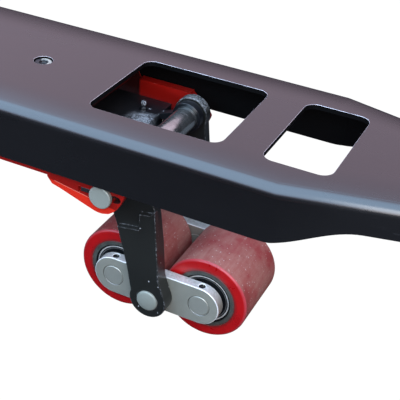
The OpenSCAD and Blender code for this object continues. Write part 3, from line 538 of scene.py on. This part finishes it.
def crownHeight(net):
    # The pressed top falls away a little before its side bends, also where the tip is drawn in
    c = coverCrown
    place = separate(net, objectCoords(net))
    across = maths(net, "ABSOLUTE", maths(net, "SUBTRACT", maths(net, "ABSOLUTE", place["X"]), forkX))
    ahead = maths(net, "SUBTRACT", datumY - c["taperFrom"], place["Y"])
    drawn = times(net, maths(net, "MAXIMUM", ahead, 0.0), c["taperSlope"])
    share = mapRange(net, maths(net, "ADD", across, drawn), c["from"], c["to"])
    return maths(net, "SUBTRACT", 1.0, maths(net, "POWER", share, 2.0))


def coverFinish():
    # Black satin sheet: nearly all of its light is what it mirrors, with faint scuffs along its length
    c = coverLook
    mat, net, coords = newFinish("coverSheet")
    lines = placeGroup(net, "grain", Stretch=(1.0, 0.04, 1.0), Scale=520.0)
    broad = vectorMath(net, "MULTIPLY", coords, c["cloudStretch"])
    cloud = mapRange(net, noise(net, broad, 11.0, 5.0, 0.6), 0.3, 0.7)
    drawn = vectorMath(net, "MULTIPLY", coords, c["scuffStretch"])
    scuff = mapRange(net, noise(net, drawn, 160.0, 5.0, 0.7), *c["scuffEdge"])
    base = mixColour(net, cloud, *c["black"])
    lined = mixColour(net, times(net, scuff, c["scuffShare"]), base, c["scuff"])
    fleck = placeGroup(net, "specks", Scale=34.0, Size=0.07, Share=0.10)
    relief = maths(net, "ADD", times(net, lines, c["lineShare"]), noise(net, coords, 300.0, 2.0))
    crown = bumped(net, crownHeight(net), 1.0, coverCrown["drop"])
    return feed(mat, {
        "Base Color": mixColour(net, fleck, lined, c["fleck"]),
        "Roughness": mapRange(net, cloud, 0.0, 1.0, *c["rough"]),
        "Specular IOR Level": 1.0,
        "Coat Weight": 0.2,
        "Coat Roughness": 0.15,
        "Normal": bumped(net, relief, *c["relief"], Normal=crown),
    })


def innerFinish():
    # The sheet's inside gets a darker, duller black than its top: painted shade
    mat, net, coords = newFinish("coverInsideShade")
    cloud = noise(net, coords, 40.0, 4.0, 0.7)
    return feed(mat, {
        "Base Color": mixColour(net, cloud, *coverLook["inside"]),
        "Roughness": 0.6,
        "Specular IOR Level": 0.12,
    })


def cutEdgeFinish():
    # The rounded edge of a cut sheet, pale as worn bare metal and as a painted highlight
    mat, net, coords = newFinish("cutEdge")
    cloud = mapRange(net, noise(net, coords, 90.0, 4.0, 0.7), 0.35, 0.6)
    return feed(mat, {
        "Base Color": mixColour(net, cloud, *coverLook["cutEdge"]),
        "Metallic": mapRange(net, cloud, 0.0, 1.0, *coverLook["cutMetal"]),
        "Roughness": mapRange(net, noise(net, coords, 700.0), 0.3, 0.7, *coverLook["cutRough"]),
    })


steel = {
    "wear": {"Radius": 0.0010, "Amount": 0.7, "Grain": 200.0},
    "wornGain": 1.25,
    "topFacing": (0.3, 0.9),
    "topLines": (0.35, 0.62),
    "topLeast": 0.55,
    "highlightColour": (0.90, 0.91, 0.90),
    "ringWidth": (-0.2, 0.15),  # millimetres
    "ringColour": (0.02, 0.02, 0.02),
}


def metalFinish(name, colour, dark, rough=0.3, stretch=(1.0, 1.0, 1.0), scale=500.0, stain=0.2,
                metallic=1.0, relief=0.25, ringAt=None, topShine=0.0):
    # Bare or plated steel with grain, mottling and worn bright edges
    mat, net, coords = newFinish(name)
    lines = placeGroup(net, "grain", Stretch=stretch, Scale=scale)
    cloud = mapRange(net, noise(net, coords, 55.0, 5.0, 0.65), 0.35, 0.7)
    base = mixColour(net, times(net, cloud, stain), colour, dark)
    bright = tuple(min(1.0, tone * steel["wornGain"]) for tone in colour)
    shown = mixColour(net, placeGroup(net, "edgeWear", **steel["wear"]), base, bright)
    # painted highlight: faces that look up are made paler, streaked by the grain
    if topShine:
        facing = separate(net, addNode(net, "ShaderNodeNewGeometry").outputs["Normal"])
        topHighlight = mapRange(net, lines, *steel["topLines"], steel["topLeast"] * topShine, topShine)
        up = times(net, mapRange(net, facing["Z"], *steel["topFacing"]), topHighlight)
        shown = mixColour(net, up, shown, steel["highlightColour"])
    if ringAt:  # the joint line round each pressed-in axle
        low, high = ((ringAt + side) * mm for side in steel["ringWidth"])
        line = band(net, axleRadius(net, axlePlaces), low, high)
        shown = mixColour(net, line, shown, steel["ringColour"])
    return feed(mat, {
        "Base Color": shown,
        "Metallic": metallic,
        "Roughness": mapRange(net, lines, 0.3, 0.7, rough - 0.06, rough + 0.08),
        "Normal": bumped(net, lines, relief, 0.0003),
    })


rollerFace = {  # metres from the axle
    "shieldIn": 0.0135, "innerRing": (0.0206, 0.0210), "outerRing": (0.0221, 0.0232),
    "joint": (0.0230, 0.0249), "stain": (0.0282, 0.0325), "shade": (0.0325, 0.0296),
    "edgeHighlight": (0.0380, 0.0400),
}
rollerLook = {
    "shield": ((0.004, 0.005, 0.006), (0.010, 0.011, 0.013)),
    "ground": ((0.50, 0.49, 0.46), (0.85, 0.84, 0.80)),
    "innerShare": 0.25,
    "groundMetal": 0.35,
    "bearingRough": (0.28, 0.42),
    "iron": ((0.044, 0.049, 0.043), (0.092, 0.099, 0.087)),
    "joint": (0.004, 0.004, 0.004),
    "stain": (0.75, (0.16, 0.012, 0.012)),
    "stainWave": 0.0030,
    "urethane": ((0.44, 0.0035, 0.0055), (0.52, 0.0045, 0.0065)),
    "edgeHighlight": (0.6, (0.62, 0.115, 0.14)),
    "shade": (0.75, (0.17, 0.012, 0.012)),
    "sideWave": 0.0008,
    "sideRough": (0.27, 0.34),
}


def tinted(net, mask, under, name):
    share, colour = rollerLook[name]
    return mixColour(net, times(net, mask, share), under, colour)


def bearingFinish():
    # Ground rings round a black rubber shield
    f, c = rollerFace, rollerLook
    mat, net, coords = newFinish("rollerBearing")
    away = axleRadius(net, axlePlaces)
    hub = band(net, away, 0.0, f["shieldIn"])
    thin = times(net, band(net, away, *f["innerRing"]), c["innerShare"])
    outer = band(net, away, *f["outerRing"])
    ground = maths(net, "MAXIMUM", maths(net, "MAXIMUM", outer, thin), hub)
    cloud = mapRange(net, noise(net, coords, 160.0, 4.0, 0.7), 0.35, 0.65)
    black = mixColour(net, cloud, *c["shield"])
    bright = mixColour(net, cloud, *c["ground"])
    return feed(mat, {
        "Base Color": mixColour(net, ground, black, bright),
        "Metallic": times(net, ground, c["groundMetal"]),
        "Roughness": mapRange(net, cloud, 0.0, 1.0, *c["bearingRough"]),
        "Normal": bumped(net, maths(net, "ADD", times(net, cloud, 0.1), ground), 0.4, 0.0003),
    })


def coreFinish():
    # Cast core of a roller, its rim stained by the urethane cast onto it
    mat, net, coords = newFinish("rollerCore")
    away = axleRadius(net, axlePlaces)
    cloud = mapRange(net, noise(net, coords, 120.0, 5.0, 0.7), 0.35, 0.68)
    iron = mixColour(net, cloud, *rollerLook["iron"])
    wave = times(net, noise(net, coords, 210.0, 4.0, 0.7), rollerLook["stainWave"])
    stain = mapRange(net, maths(net, "ADD", away, wave), *rollerFace["stain"])
    joint = band(net, away, *rollerFace["joint"])
    return feed(mat, {
        "Base Color": tinted(net, stain, mixColour(net, joint, iron, rollerLook["joint"]), "stain"),
        "Roughness": 0.55,
        "Specular IOR Level": 0.35,
        "Normal": bumped(net, noise(net, coords, 700.0, 3.0, 0.7), 0.35, 0.0003),
    })


def tyreSideFinish():
    # Glossy urethane side, with a painted highlight at its outer edge and painted shade towards the core
    mat, net, coords = newFinish("urethaneSide")
    away = axleRadius(net, axlePlaces)
    cloud = mapRange(net, noise(net, coords, 60.0, 4.0, 0.6), 0.35, 0.65)
    base = mixColour(net, cloud, *rollerLook["urethane"])
    wave = times(net, noise(net, coords, 150.0, 4.0, 0.7), rollerLook["sideWave"])
    wavy = maths(net, "ADD", away, wave)
    # painted highlight round the outer edge
    outer = mapRange(net, wavy, *rollerFace["edgeHighlight"])
    inner = mapRange(net, wavy, *rollerFace["shade"])
    return feed(mat, {
        "Base Color": tinted(net, inner, tinted(net, outer, base, "edgeHighlight"), "shade"),
        "Roughness": mapRange(net, cloud, 0.0, 1.0, *rollerLook["sideRough"]),
        "Specular IOR Level": 0.6,
        "Normal": bumped(net, noise(net, coords, 900.0, 2.0), 0.03, 0.0002),
    })


treadLook = {
    "acrossStretch": (0.10, 1.0, 1.0), "stainStretch": (0.25, 1.0, 1.0), "lineScale": 420.0,
    "streakShare": 0.42, "filmLeast": 0.34, "stainShare": 0.35, "stainLevel": 0.45,
    "gritScale": 430.0, "gritSize": 0.30, "grit": (0.62, 0.55, 0.50),
}


def treadFinish(name, colour, pale, dusty, specks=0.30):
    # Running face of a roller: floor dust in streaks along its axis, rubbed patches and embedded grit
    c = treadLook
    mat, net, coords = newFinish(name)
    cloud = mapRange(net, noise(net, coords, 34.0, 5.0, 0.65), 0.36, 0.62)
    across = vectorMath(net, "MULTIPLY", coords, c["acrossStretch"])
    streaks = mapRange(net, noise(net, across, c["lineScale"], 4.0, 0.7), 0.40, 0.66)
    film = times(net, maths(net, "ADD", times(net, streaks, c["streakShare"]), c["filmLeast"]), cloud)
    sandy = mixColour(net, film, mixColour(net, cloud, colour, pale), dusty)
    stretch = vectorMath(net, "MULTIPLY", coords, c["stainStretch"])
    stain = mapRange(net, noise(net, stretch, c["lineScale"], 3.0, 0.7), 0.60, 0.72)
    dark = tuple(tone * c["stainLevel"] for tone in colour)
    stained = mixColour(net, times(net, stain, c["stainShare"]), sandy, dark)
    flecks = placeGroup(net, "specks", Scale=c["gritScale"], Size=c["gritSize"], Share=specks)
    rings = placeGroup(net, "grain", Stretch=(1.0, 0.05, 0.05), Scale=800.0)
    relief = maths(net, "ADD", noise(net, coords, 1500.0, 3.0, 0.7), rings)
    return feed(mat, {
        "Base Color": mixColour(net, flecks, stained, c["grit"]),
        "Roughness": 0.6,
        "Specular IOR Level": 0.3,
        "Normal": bumped(net, relief, 0.35, 0.0004),
    })


moulded = {
    "variation": 0.15, "paleGain": 1.35, "paleLift": 0.03, "relief": (0.2, 0.0002),
    "wear": {"Radius": 0.0012, "Amount": 0.35, "Grain": 260.0},
}


def mouldedFinish(name, colour, rough, scale=900.0):
    # Moulded rubber, urethane or plastic with a fine skin
    c = moulded
    mat, net, coords = newFinish(name)
    cloud = mapRange(net, noise(net, coords, 22.0, 4.0), 0.3, 0.7)
    dark = tuple(tone * (1.0 - c["variation"]) for tone in colour)
    pale = tuple(min(1.0, tone * c["paleGain"] + c["paleLift"]) for tone in colour)
    edge = placeGroup(net, "edgeWear", **c["wear"])
    fine = noise(net, coords, scale, 2.0)
    return feed(mat, {
        "Base Color": mixColour(net, edge, mixColour(net, cloud, dark, colour), pale),
        "Roughness": mapRange(net, fine, 0.3, 0.7, rough - 0.05, rough + 0.05),
        "Specular IOR Level": 0.5,
        "Normal": bumped(net, fine, *c["relief"]),
    })


displayLook = ((0.10, 0.14, 0.11), (0.14, 0.18, 0.15))


def displayFinish():
    mat, net, coords = newFinish("displayGlass")
    shown = mixColour(net, noise(net, coords, 30.0, 2.0), *displayLook)
    return feed(mat, {"Base Color": shown, "Roughness": 0.08, "Coat Weight": 0.8})


finish = {
    "cover": coverFinish(),
    "coverInsideShade": innerFinish(),
    "cutEdge": cutEdgeFinish(),
    "red": paintFinish("framePaint", (0.52, 0.016, 0.008), (0.42, 0.010, 0.005), (0.30, 0.22, 0.20),
                       rough=0.36, coat=0.30, chip=0.30, specks=0.04, dust=0.03),
    "forkRed": paintFinish("forkPaint", (0.42, 0.008, 0.004), (0.35, 0.006, 0.003), (0.52, 0.20, 0.17),
                           rough=0.36, coat=0.20, chip=0.42, specks=0.05, dust=0.03, specular=0.40,
                           paintedLight=forkPaintedLight),
    "arm": paintFinish("armPaint", (0.017, 0.0175, 0.015), (0.012, 0.0125, 0.011), (0.46, 0.47, 0.48),
                       rough=0.36, coat=0.12, chip=0.52, specks=0.10, dust=0.05, speckScale=150.0,
                       bareAndGlintAt=hubScratchAndGlint),
    "rod": paintFinish("rodPaint", (0.009, 0.010, 0.012), (0.005, 0.006, 0.008), (0.40, 0.42, 0.44),
                       rough=0.34, coat=0.2, chip=0.40, specks=0.05, dust=0.04, speckScale=110.0,
                       bareAndGlintAt=rodScrapeAndGlint),
    "box": paintFinish("boxPaint", (0.022, 0.022, 0.025), (0.016, 0.016, 0.018), (0.25, 0.25, 0.26),
                       rough=0.42, coat=0.1, chip=0.3, specks=0.03, dust=0.08),
    "link": metalFinish("zincSteel", (0.43, 0.43, 0.36), (0.33, 0.335, 0.285), rough=0.40, scale=420.0,
                        stain=0.5, metallic=0.40, ringAt=10.35, topShine=0.8),
    # painted highlight on the links' rounded edges, a near-white colour
    "chamfer": metalFinish("chamferHighlight", (0.92, 0.93, 0.90), (0.80, 0.81, 0.78), rough=0.35, scale=420.0,
                           stain=0.5, metallic=0.10),
    "axleEnd": metalFinish("axleEnd", (0.45, 0.455, 0.39), (0.34, 0.345, 0.30), rough=0.36, scale=600.0,
                           stain=0.4, metallic=0.45),
    "pin": metalFinish("pinSteel", (0.36, 0.385, 0.33), (0.30, 0.32, 0.28), rough=0.46, scale=350.0,
                       stain=0.3, metallic=0.3, relief=0.2),
    "shaft": metalFinish("turnedSteel", (0.66, 0.71, 0.69), (0.30, 0.27, 0.26), rough=0.20,
                         stretch=(1.0, 0.25, 0.25), scale=420.0, stain=0.7, relief=0.18, metallic=0.95),
    "chrome": metalFinish("chromedSteel", (0.75, 0.76, 0.78), (0.60, 0.61, 0.62), rough=0.12, scale=300.0,
                          stain=0.1, relief=0.05),
    "ring": metalFinish("bearingSteel", (0.40, 0.41, 0.42), (0.22, 0.22, 0.22), scale=400.0, metallic=0.7),
    "alloy": metalFinish("castAlloy", (0.50, 0.51, 0.52), (0.36, 0.36, 0.37), rough=0.42, scale=240.0,
                         stain=0.3),
    "bearing": bearingFinish(),
    # painted shade: a near-black for screw sockets, the gaps round screw heads and the set screws' holes
    "holeShade": mouldedFinish("holeShadeBlack", (0.010, 0.011, 0.013), 0.45),
    "tyreSide": tyreSideFinish(),
    "core": coreFinish(),
    "tread": treadFinish("urethaneTread", (0.34, 0.058, 0.054), (0.37, 0.108, 0.094), (0.46, 0.235, 0.185)),
    "steerTread": treadFinish("rubberTread", (0.035, 0.035, 0.038), (0.055, 0.054, 0.055),
                              (0.16, 0.15, 0.14), specks=0.1),
    "steerSide": mouldedFinish("rubberSide", (0.030, 0.030, 0.033), 0.5),
    "plasticBlack": mouldedFinish("plasticBlack", (0.022, 0.022, 0.024), 0.45, 1400.0),
    "plasticGrey": mouldedFinish("plasticGrey", (0.32, 0.33, 0.34), 0.4, 1400.0),
    "keys": mouldedFinish("keyRubber", (0.09, 0.16, 0.30), 0.5),
    "display": displayFinish(),
}
print("finishes ready:", len(finish))


# CAD nodes get merged, rounded copies, so their edges catch the light

rounding = {"weld": 0.000004, "flat": 0.6, "sharp": 32.0}  # metres, then degrees


def mergedCopy(source, name, flat):
    bm = bmesh.new()
    bm.from_mesh(source.data)
    bmesh.ops.remove_doubles(bm, verts=bm.verts, dist=rounding["weld"])
    if flat:
        bmesh.ops.dissolve_limit(bm, angle_limit=math.radians(flat), verts=bm.verts, edges=bm.edges)
    return addMesh(bm, name)


def smoothBy(mesh, angle=rounding["sharp"]):
    mesh.shade_smooth()
    mesh.set_sharp_from_angle(angle=math.radians(angle))


def bakeModifiers(piece):
    bpy.context.view_layer.update()
    graph = bpy.context.evaluated_depsgraph_get()
    mesh = bpy.data.meshes.new_from_object(piece.evaluated_get(graph))
    mesh.name = piece.name
    piece.modifiers.clear()
    piece.data = mesh


def levelNormals(piece):
    # Flat faces stay flat beside rounded edges
    level = piece.modifiers.new("level", "WEIGHTED_NORMAL")
    level.mode = "FACE_AREA"
    level.weight = 100
    level.keep_sharp = True
    bakeModifiers(piece)


def roundEdges(piece, width, segments=2, angle=rounding["sharp"], mat=-1, clamp=True):
    mod = piece.modifiers.new("edges", "BEVEL")
    mod.material = mat
    mod.width = width
    mod.segments = segments
    mod.limit_method = "ANGLE"
    mod.angle_limit = math.radians(angle)
    mod.harden_normals = False
    mod.use_clamp_overlap = clamp
    levelNormals(piece)


def dress(node, mats, width, pick=None, edge=-1, clamp=True):
    # Stands a rounded copy in for a CAD node; pick gives each face its finish
    piece = mergedCopy(nodes[node], node + "_skin", rounding["flat"] if width else 0.0)
    smoothBy(piece.data)
    for mat in mats:
        piece.data.materials.append(finish[mat])
    if width:
        roundEdges(piece, width * mm, mat=edge, clamp=clamp)
    else:
        levelNormals(piece)
    if pick:
        choose = pick(piece.data)
        for face in piece.data.polygons:
            picked = choose(face)
            face.material_index = face.material_index if picked is None else picked
    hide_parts(node)
    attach(piece, nodes[node]["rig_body"])


screwFace = {"sunk": 0.7, "socket": 4.2, "head": 6.4}  # millimetres
linkFace = {"axleHole": 10.2, "rim": 1.2, "screwHalf": 3.4, "below": 0.9}
sideways = 0.45  # how far a face looks sideways when it is a tyre's side
flatSide = 0.98  # or a link's flat side


def sideOrTread(mesh):
    return lambda face: 0 if abs(face.normal.x) > sideways else 1


def socketHoles(mesh):
    # Each cover screw's socket and the gap round its head get painted shade, a near-black
    floor = max(v.co.z for v in mesh.vertices) - screwFace["sunk"] * mm
    heads = [(side * forkX, datumY - ahead * mm) for side in (-1, 1) for ahead in coverSheet["screws"]]

    def pick(face):
        away = min(math.hypot(face.center.x - x, face.center.y - y) for x, y in heads)
        if face.center.z < floor or away < screwFace["socket"] * mm:
            return 1
        return 0 if away < screwFace["head"] * mm else None
    return pick


def screwHoles(mesh):
    # The set screws' holes over the axles get painted shade, a near-black, and the axles' own holes have no
    # bright rim
    reach = max(v.co.z for v in mesh.vertices) - axleZ - linkFace["below"] * mm
    rim = (linkFace["axleHole"] + linkFace["rim"]) * mm

    def pick(face):
        for y, z in axlePlaces:
            away = math.hypot(face.center.y - y, face.center.z - z)
            if away < rim:
                return 0
            over = abs(face.center.y - y) < linkFace["screwHalf"] * mm and face.center.z > z
            if over and away < reach:
                return None if abs(face.normal.x) > flatSide else 1
        return None
    return pick


plain = {  # each node's finish, and the rounding of its edges in millimetres
    "head_frame": ("red", 1.2), "inner_fork_left": ("forkRed", 0.8), "inner_fork_right": ("forkRed", 0.8),
    "lift_bracket": ("red", 1.0), "pump_base": ("red", 1.2), "oil_tank": ("red", 1.5),
    "handle_socket": ("red", 1.2), "handle_tube": ("red", 0.6), "load_cells": ("alloy", 0.6),
    "load_cell_screws": ("pin", 0.4), "pivot_shafts": ("pin", 0.9), "pin_keepers": ("box", 0.4),
    "piston_rod": ("chrome", 0.8), "indicator_post": ("box", 0.8), "indicator_case": ("box", 1.5),
    "indicator_front": ("plasticGrey", 1.2), "display_window": ("display", 0.3), "keypad": ("keys", 0.4),
    "battery_box": ("box", 2.0), "cable_glands": ("plasticBlack", 0.5), "thrust_bearing": ("ring", 1.0),
    "wheel_axle": ("pin", 1.0), "handle_pins": ("pin", 1.0), "handle_loop": ("plasticBlack", 5.0),
    "cam_roller": ("ring", 0.8), "control_lever": ("plasticGrey", 1.5), "release_rod": ("pin", 0.0),
    "pump_plunger": ("chrome", 0.8), "rocker": ("arm", 1.0), "steer_hub_left": ("alloy", 1.0),
    "steer_hub_right": ("alloy", 1.0), "steer_bearings": ("ring", 0.3),
}
paired = {
    "push_rod": ("rod", 0.8), "carrier": ("arm", 0.9), "push_shaft": ("shaft", 0.6),
    "bogie_pins": ("pin", 0.5), "roller_axles": ("axleEnd", 0.9), "core_front": ("core", 0.6),
    "core_rear": ("core", 0.6),
}
for hand in ("left", "right"):
    plain.update({node + "_" + hand: look for node, look in paired.items()})
for node, (mat, width) in plain.items():
    dress(node, [mat], width)
for hand in ("left", "right"):
    for end in ("front", "rear"):
        dress("tyre_%s_%s" % (end, hand), ["tyreSide", "tread"], 0.0, sideOrTread)
    dress("steer_tyre_" + hand, ["steerSide", "steerTread"], 0.0, sideOrTread)
    dress("roller_bearings_" + hand, ["bearing"], 0.25)
    # the links' rounded edges get the painted highlight, and their set screws' holes get painted shade
    dress("bogie_links_" + hand, ["link", "holeShade", "chamfer"], 0.7, screwHoles, edge=2, clamp=False)
dress("cover_screws", ["axleEnd", "holeShade"], 0.9, socketHoles, edge=1, clamp=False)
print("frame dressed")


# Set screws over the roller axles, in the links' holes

setScrew = {"Diameter": 5.0, "Length": 5.0, "Socket": 3.2, "Depth": 2.6}  # millimetres
screwPlace = {"sunk": 2.0, "edge": 0.2}
screwSides = 24
socketSides = 6


def setScrewTree():
    # A hexagon socket screw on each point
    tree = bpy.data.node_groups.new("setScrews", "GeometryNodeTree")
    keys = {}
    kinds = {"Geometry": "Geometry", **dict.fromkeys(setScrew, "Float"), "Finish": "Material"}
    for label, kind in kinds.items():
        socket = tree.interface.new_socket(label, in_out="INPUT", socket_type="NodeSocket" + kind)
        keys[label] = socket.identifier
    tree.interface.new_socket("Geometry", in_out="OUTPUT", socket_type="NodeSocketGeometry")
    start = addNode(tree, "NodeGroupInput").outputs
    sizes = {"Radius": times(tree, start["Diameter"], 0.5), "Depth": start["Length"]}
    body = addNode(tree, "GeometryNodeMeshCylinder", {"Vertices": screwSides, **sizes})
    sizes = {"Radius": times(tree, start["Socket"], 0.5), "Depth": times(tree, start["Depth"], 2.0)}
    hole = addNode(tree, "GeometryNodeMeshCylinder", {"Vertices": socketSides, **sizes})
    lift = addNode(tree, "ShaderNodeCombineXYZ", {"Z": times(tree, start["Length"], 0.5)})
    moved = {"Geometry": hole.outputs["Mesh"], "Translation": lift.outputs[0]}
    move = addNode(tree, "GeometryNodeTransform", moved)
    meshes = {"Mesh 1": body.outputs["Mesh"], "Mesh 2": move.outputs[0]}
    cut = addNode(tree, "GeometryNodeMeshBoolean", meshes, operation="DIFFERENCE")
    spots = {"Points": start["Geometry"], "Instance": cut.outputs["Mesh"]}
    place = addNode(tree, "GeometryNodeInstanceOnPoints", spots)
    real = addNode(tree, "GeometryNodeRealizeInstances", {"Geometry": place.outputs["Instances"]})
    look = {"Geometry": real.outputs[0], "Material": start["Finish"]}
    addNode(tree, "NodeGroupOutput", {0: addNode(tree, "GeometryNodeSetMaterial", look).outputs[0]})
    return tree, keys


def makeSetScrews(hand, side, tree, keys):
    node = "bogie_links_" + hand
    mesh = nodes[node].data
    offsets = [abs(v.co.x - side * forkX) for v in mesh.vertices]
    middle = (min(offsets) + max(offsets)) / 2
    top = max(v.co.z for v in mesh.vertices)
    height = top - screwPlace["sunk"] * mm - setScrew["Length"] * mm / 2
    spots = [(side * forkX + across, y, height) for across in (-middle, middle) for y, z in axlePlaces]
    points = bpy.data.meshes.new("screwPlaces")
    points.from_pydata(spots, [], [])
    piece = addObject("set_screws_" + hand, points)
    mod = piece.modifiers.new("screws", "NODES")
    mod.node_group = tree
    for label, size in setScrew.items():
        mod[keys[label]] = size * mm
    mod[keys["Finish"]] = finish["box"]
    bakeModifiers(piece)
    smoothBy(piece.data)
    roundEdges(piece, screwPlace["edge"] * mm)
    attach(piece, nodes[node]["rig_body"])


screwTree, screwKeys = setScrewTree()
for hand, side in hands:
    makeSetScrews(hand, side, screwTree, screwKeys)
print("set screws ready")


# Fork covers: bent sheet with drawn-in tip, windows and screw holes

coverMerge = {"weld": 0.00001, "flat": 0.4, "sharp": 35.0, "rounded": 40.0}  # metres, then degrees
coverInner = {  # millimetres and parts of a unit normal: which faces are on the sheet's inside
    "top": 1.5, "slack": 0.5, "turned": 0.3, "facing": 0.5, "under": 8.0, "cutHalf": 54.0,
    "cutReach": (-2.0, 212.0), "frontFrom": 250.0,
}


def wallDepth(s):
    c = coverSheet
    start = c["datum"] - c["taper"] - c["riseStart"]
    share = min(max((s - start) / c["riseLength"], 0.0), 1.0)
    return c["depth"] - (c["depth"] - c["tipDepth"]) * (1 - math.cos(math.pi * share)) / 2


def planOutline():
    # Open outline in (s, t) from the heel round the tip and back, with stations where the wall's edge rises
    c = coverSheet
    half = c["width"] / 2
    corner = c["datum"] - c["taper"]
    lean = math.radians(c["lean"])
    slope = math.tan(lean)
    start = corner - c["riseStart"]
    stations = {start + c["riseLength"] * i / c["riseSteps"] for i in range(c["riseSteps"] + 1)}
    stations.update((c["datum"] - c["length"], *c["stations"], corner))
    right = [(s, half - max(0.0, s - corner) * slope) for s in sorted(stations)]
    # The corner between a drawn-in side and the front is an arc tangent to both
    r = c["cornerRadius"]
    centreS = c["datum"] - r
    centreT = half - (centreS - corner) * slope - r / math.cos(lean)
    arcPoints = []
    for i in range(c["arcSteps"] + 1):
        a = (math.pi / 2 - lean) * (1 - i / c["arcSteps"])
        arcPoints.append((centreS + r * math.cos(a), centreT + r * math.sin(a)))
    side = [p for p in right if p[0] < arcPoints[0][0]] + arcPoints
    return side + [(s, -t) for s, t in reversed(side)]


def inset(points, distance):
    # Moves an open outline inwards by a distance, with mitred corners
    moved = []
    for i, (s, t) in enumerate(points):
        normals = []
        for a, b in ((i - 1, i), (i, i + 1)):
            if a < 0 or b >= len(points):
                continue
            ds, dt = points[b][0] - points[a][0], points[b][1] - points[a][1]
            size = math.hypot(ds, dt)
            normals.append((dt / size, -ds / size))
        if len(normals) == 1:
            normals = normals * 2
        (a0, a1), (b0, b1) = normals
        scale = distance / (1 + a0 * b0 + a1 * b1)
        moved.append((s + (a0 + b0) * scale, t + (a1 + b1) * scale))
    return moved


def windowLoop(s0, length, width):
    r = coverSheet["windowRadius"]
    steps = coverSheet["arcSteps"]
    front, rear, edge = s0 + length - r, s0 + r, width / 2 - r
    loop = []
    for cs, ct, turn in ((front, edge, 0), (rear, edge, 90), (rear, -edge, 180), (front, -edge, 270)):
        for i in range(steps + 1):
            a = math.radians(turn + 90 * i / steps)
            loop.append((cs + r * math.cos(a), ct + r * math.sin(a)))
    return loop


def screwLoop(s0):
    r = coverSheet["screwHole"]
    turns = [2 * math.pi * i / coverSheet["holeSteps"] for i in range(coverSheet["holeSteps"])]
    return [(s0 + r * math.cos(a), r * math.sin(a)) for a in turns]


def makeCutter(loop, side):
    reach = coverSheet["depth"] / 2
    bm = bmesh.new()
    bottom = [bm.verts.new(forkPoint(s, t, -reach, side)) for s, t in loop]
    top = [bm.verts.new(forkPoint(s, t, reach, side)) for s, t in loop]
    bm.faces.new(bottom)
    bm.faces.new(list(reversed(top)))
    for i in range(len(loop)):
        j = (i + 1) % len(loop)
        bm.faces.new((bottom[i], top[i], top[j], bottom[j]))
    bmesh.ops.recalc_face_normals(bm, faces=bm.faces)
    return addMesh(bm, "cutter")


def bentSheet(hand, side):
    # The outer surface, bent down all round but at the heel, then given its thickness
    c = coverSheet
    outline = planOutline()
    bm = bmesh.new()
    rings = []
    for i in range(c["bendSteps"] + 1):
        a = math.pi / 2 * i / c["bendSteps"]
        drawn = inset(outline, c["bend"] * (1 - math.sin(a)))
        height = -c["bend"] * (1 - math.cos(a))
        rings.append([bm.verts.new(forkPoint(s, t, height, side)) for s, t in drawn])
    rings.append([bm.verts.new(forkPoint(s, t, -wallDepth(s), side)) for s, t in outline])
    for upper, lower in zip(rings, rings[1:]):
        for i in range(len(outline) - 1):
            bm.faces.new((upper[i], upper[i + 1], lower[i + 1], lower[i]))
    top = rings[0]
    for i in range(len(outline) // 2 - 1):  # the top is a ladder of strips from side to side
        bm.faces.new((top[i], top[i + 1], top[-i - 2], top[-i - 1]))
    bmesh.ops.recalc_face_normals(bm, faces=bm.faces)
    if max(bm.faces, key=lambda f: f.calc_area()).normal.z < 0:
        bmesh.ops.reverse_faces(bm, faces=bm.faces)
    piece = addMesh(bm, "fork_cover_%s_sheet" % hand)
    wall = piece.modifiers.new("sheet", "SOLIDIFY")
    wall.thickness = c["thickness"] * mm
    wall.offset = -1
    wall.use_even_offset = True
    bakeModifiers(piece)
    return piece


def cutHoles(piece, side):
    c = coverSheet
    loops = [windowLoop(*window) for window in c["windows"]] + [screwLoop(s0) for s0 in c["screws"]]
    cutters = [makeCutter(loop, side) for loop in loops]
    for cutter in cutters:
        hole = piece.modifiers.new("hole", "BOOLEAN")
        hole.operation = "DIFFERENCE"
        hole.solver = "EXACT"
        hole.object = cutter
    bakeModifiers(piece)
    for cutter in cutters:
        bpy.data.objects.remove(cutter)
    bm = bmesh.new()
    bm.from_mesh(piece.data)
    bmesh.ops.remove_doubles(bm, verts=bm.verts, dist=coverMerge["weld"])
    limit = math.radians(coverMerge["flat"])
    bmesh.ops.dissolve_limit(bm, angle_limit=limit, verts=bm.verts, edges=bm.edges)
    bm.to_mesh(piece.data)
    bm.free()


def pickFaces(mesh, side):
    # The sheet's inside gets painted shade; its top and cut edges keep what they have
    c = coverInner
    reach = coverSheet["width"] / 2 - coverSheet["thickness"] + c["slack"]
    for face in mesh.polygons:
        if face.center.z > topZ - c["top"] * mm:
            continue
        away = (face.center.x - side * forkX) / mm
        ahead = (datumY - face.center.y) / mm
        inwards = away * face.normal.x < -c["turned"] * abs(away) and abs(away) < reach
        under = face.normal.z < -c["facing"] and face.center.z > topZ - c["under"] * mm
        within = abs(away) < c["cutHalf"] and c["cutReach"][0] < ahead < c["cutReach"][1]
        cutWall = abs(face.normal.y) > c["facing"] and within
        front = face.normal.y > c["facing"] and ahead > c["frontFrom"]
        face.material_index = 2 if inwards or under or cutWall or front else 0


def makeCover(hand, side):
    piece = bentSheet(hand, side)
    cutHoles(piece, side)
    piece.data.materials.clear()
    for mat in ("cover", "cutEdge", "coverInsideShade"):
        piece.data.materials.append(finish[mat])
    smoothBy(piece.data, coverMerge["sharp"])
    roundEdges(piece, coverSheet["cutRound"] * mm, 3, coverMerge["rounded"], 1)
    pickFaces(piece.data, side)
    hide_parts("fork_cover_" + hand)
    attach(piece, "chassis")


for hand, side in hands:
    makeCover(hand, side)
print("covers ready")
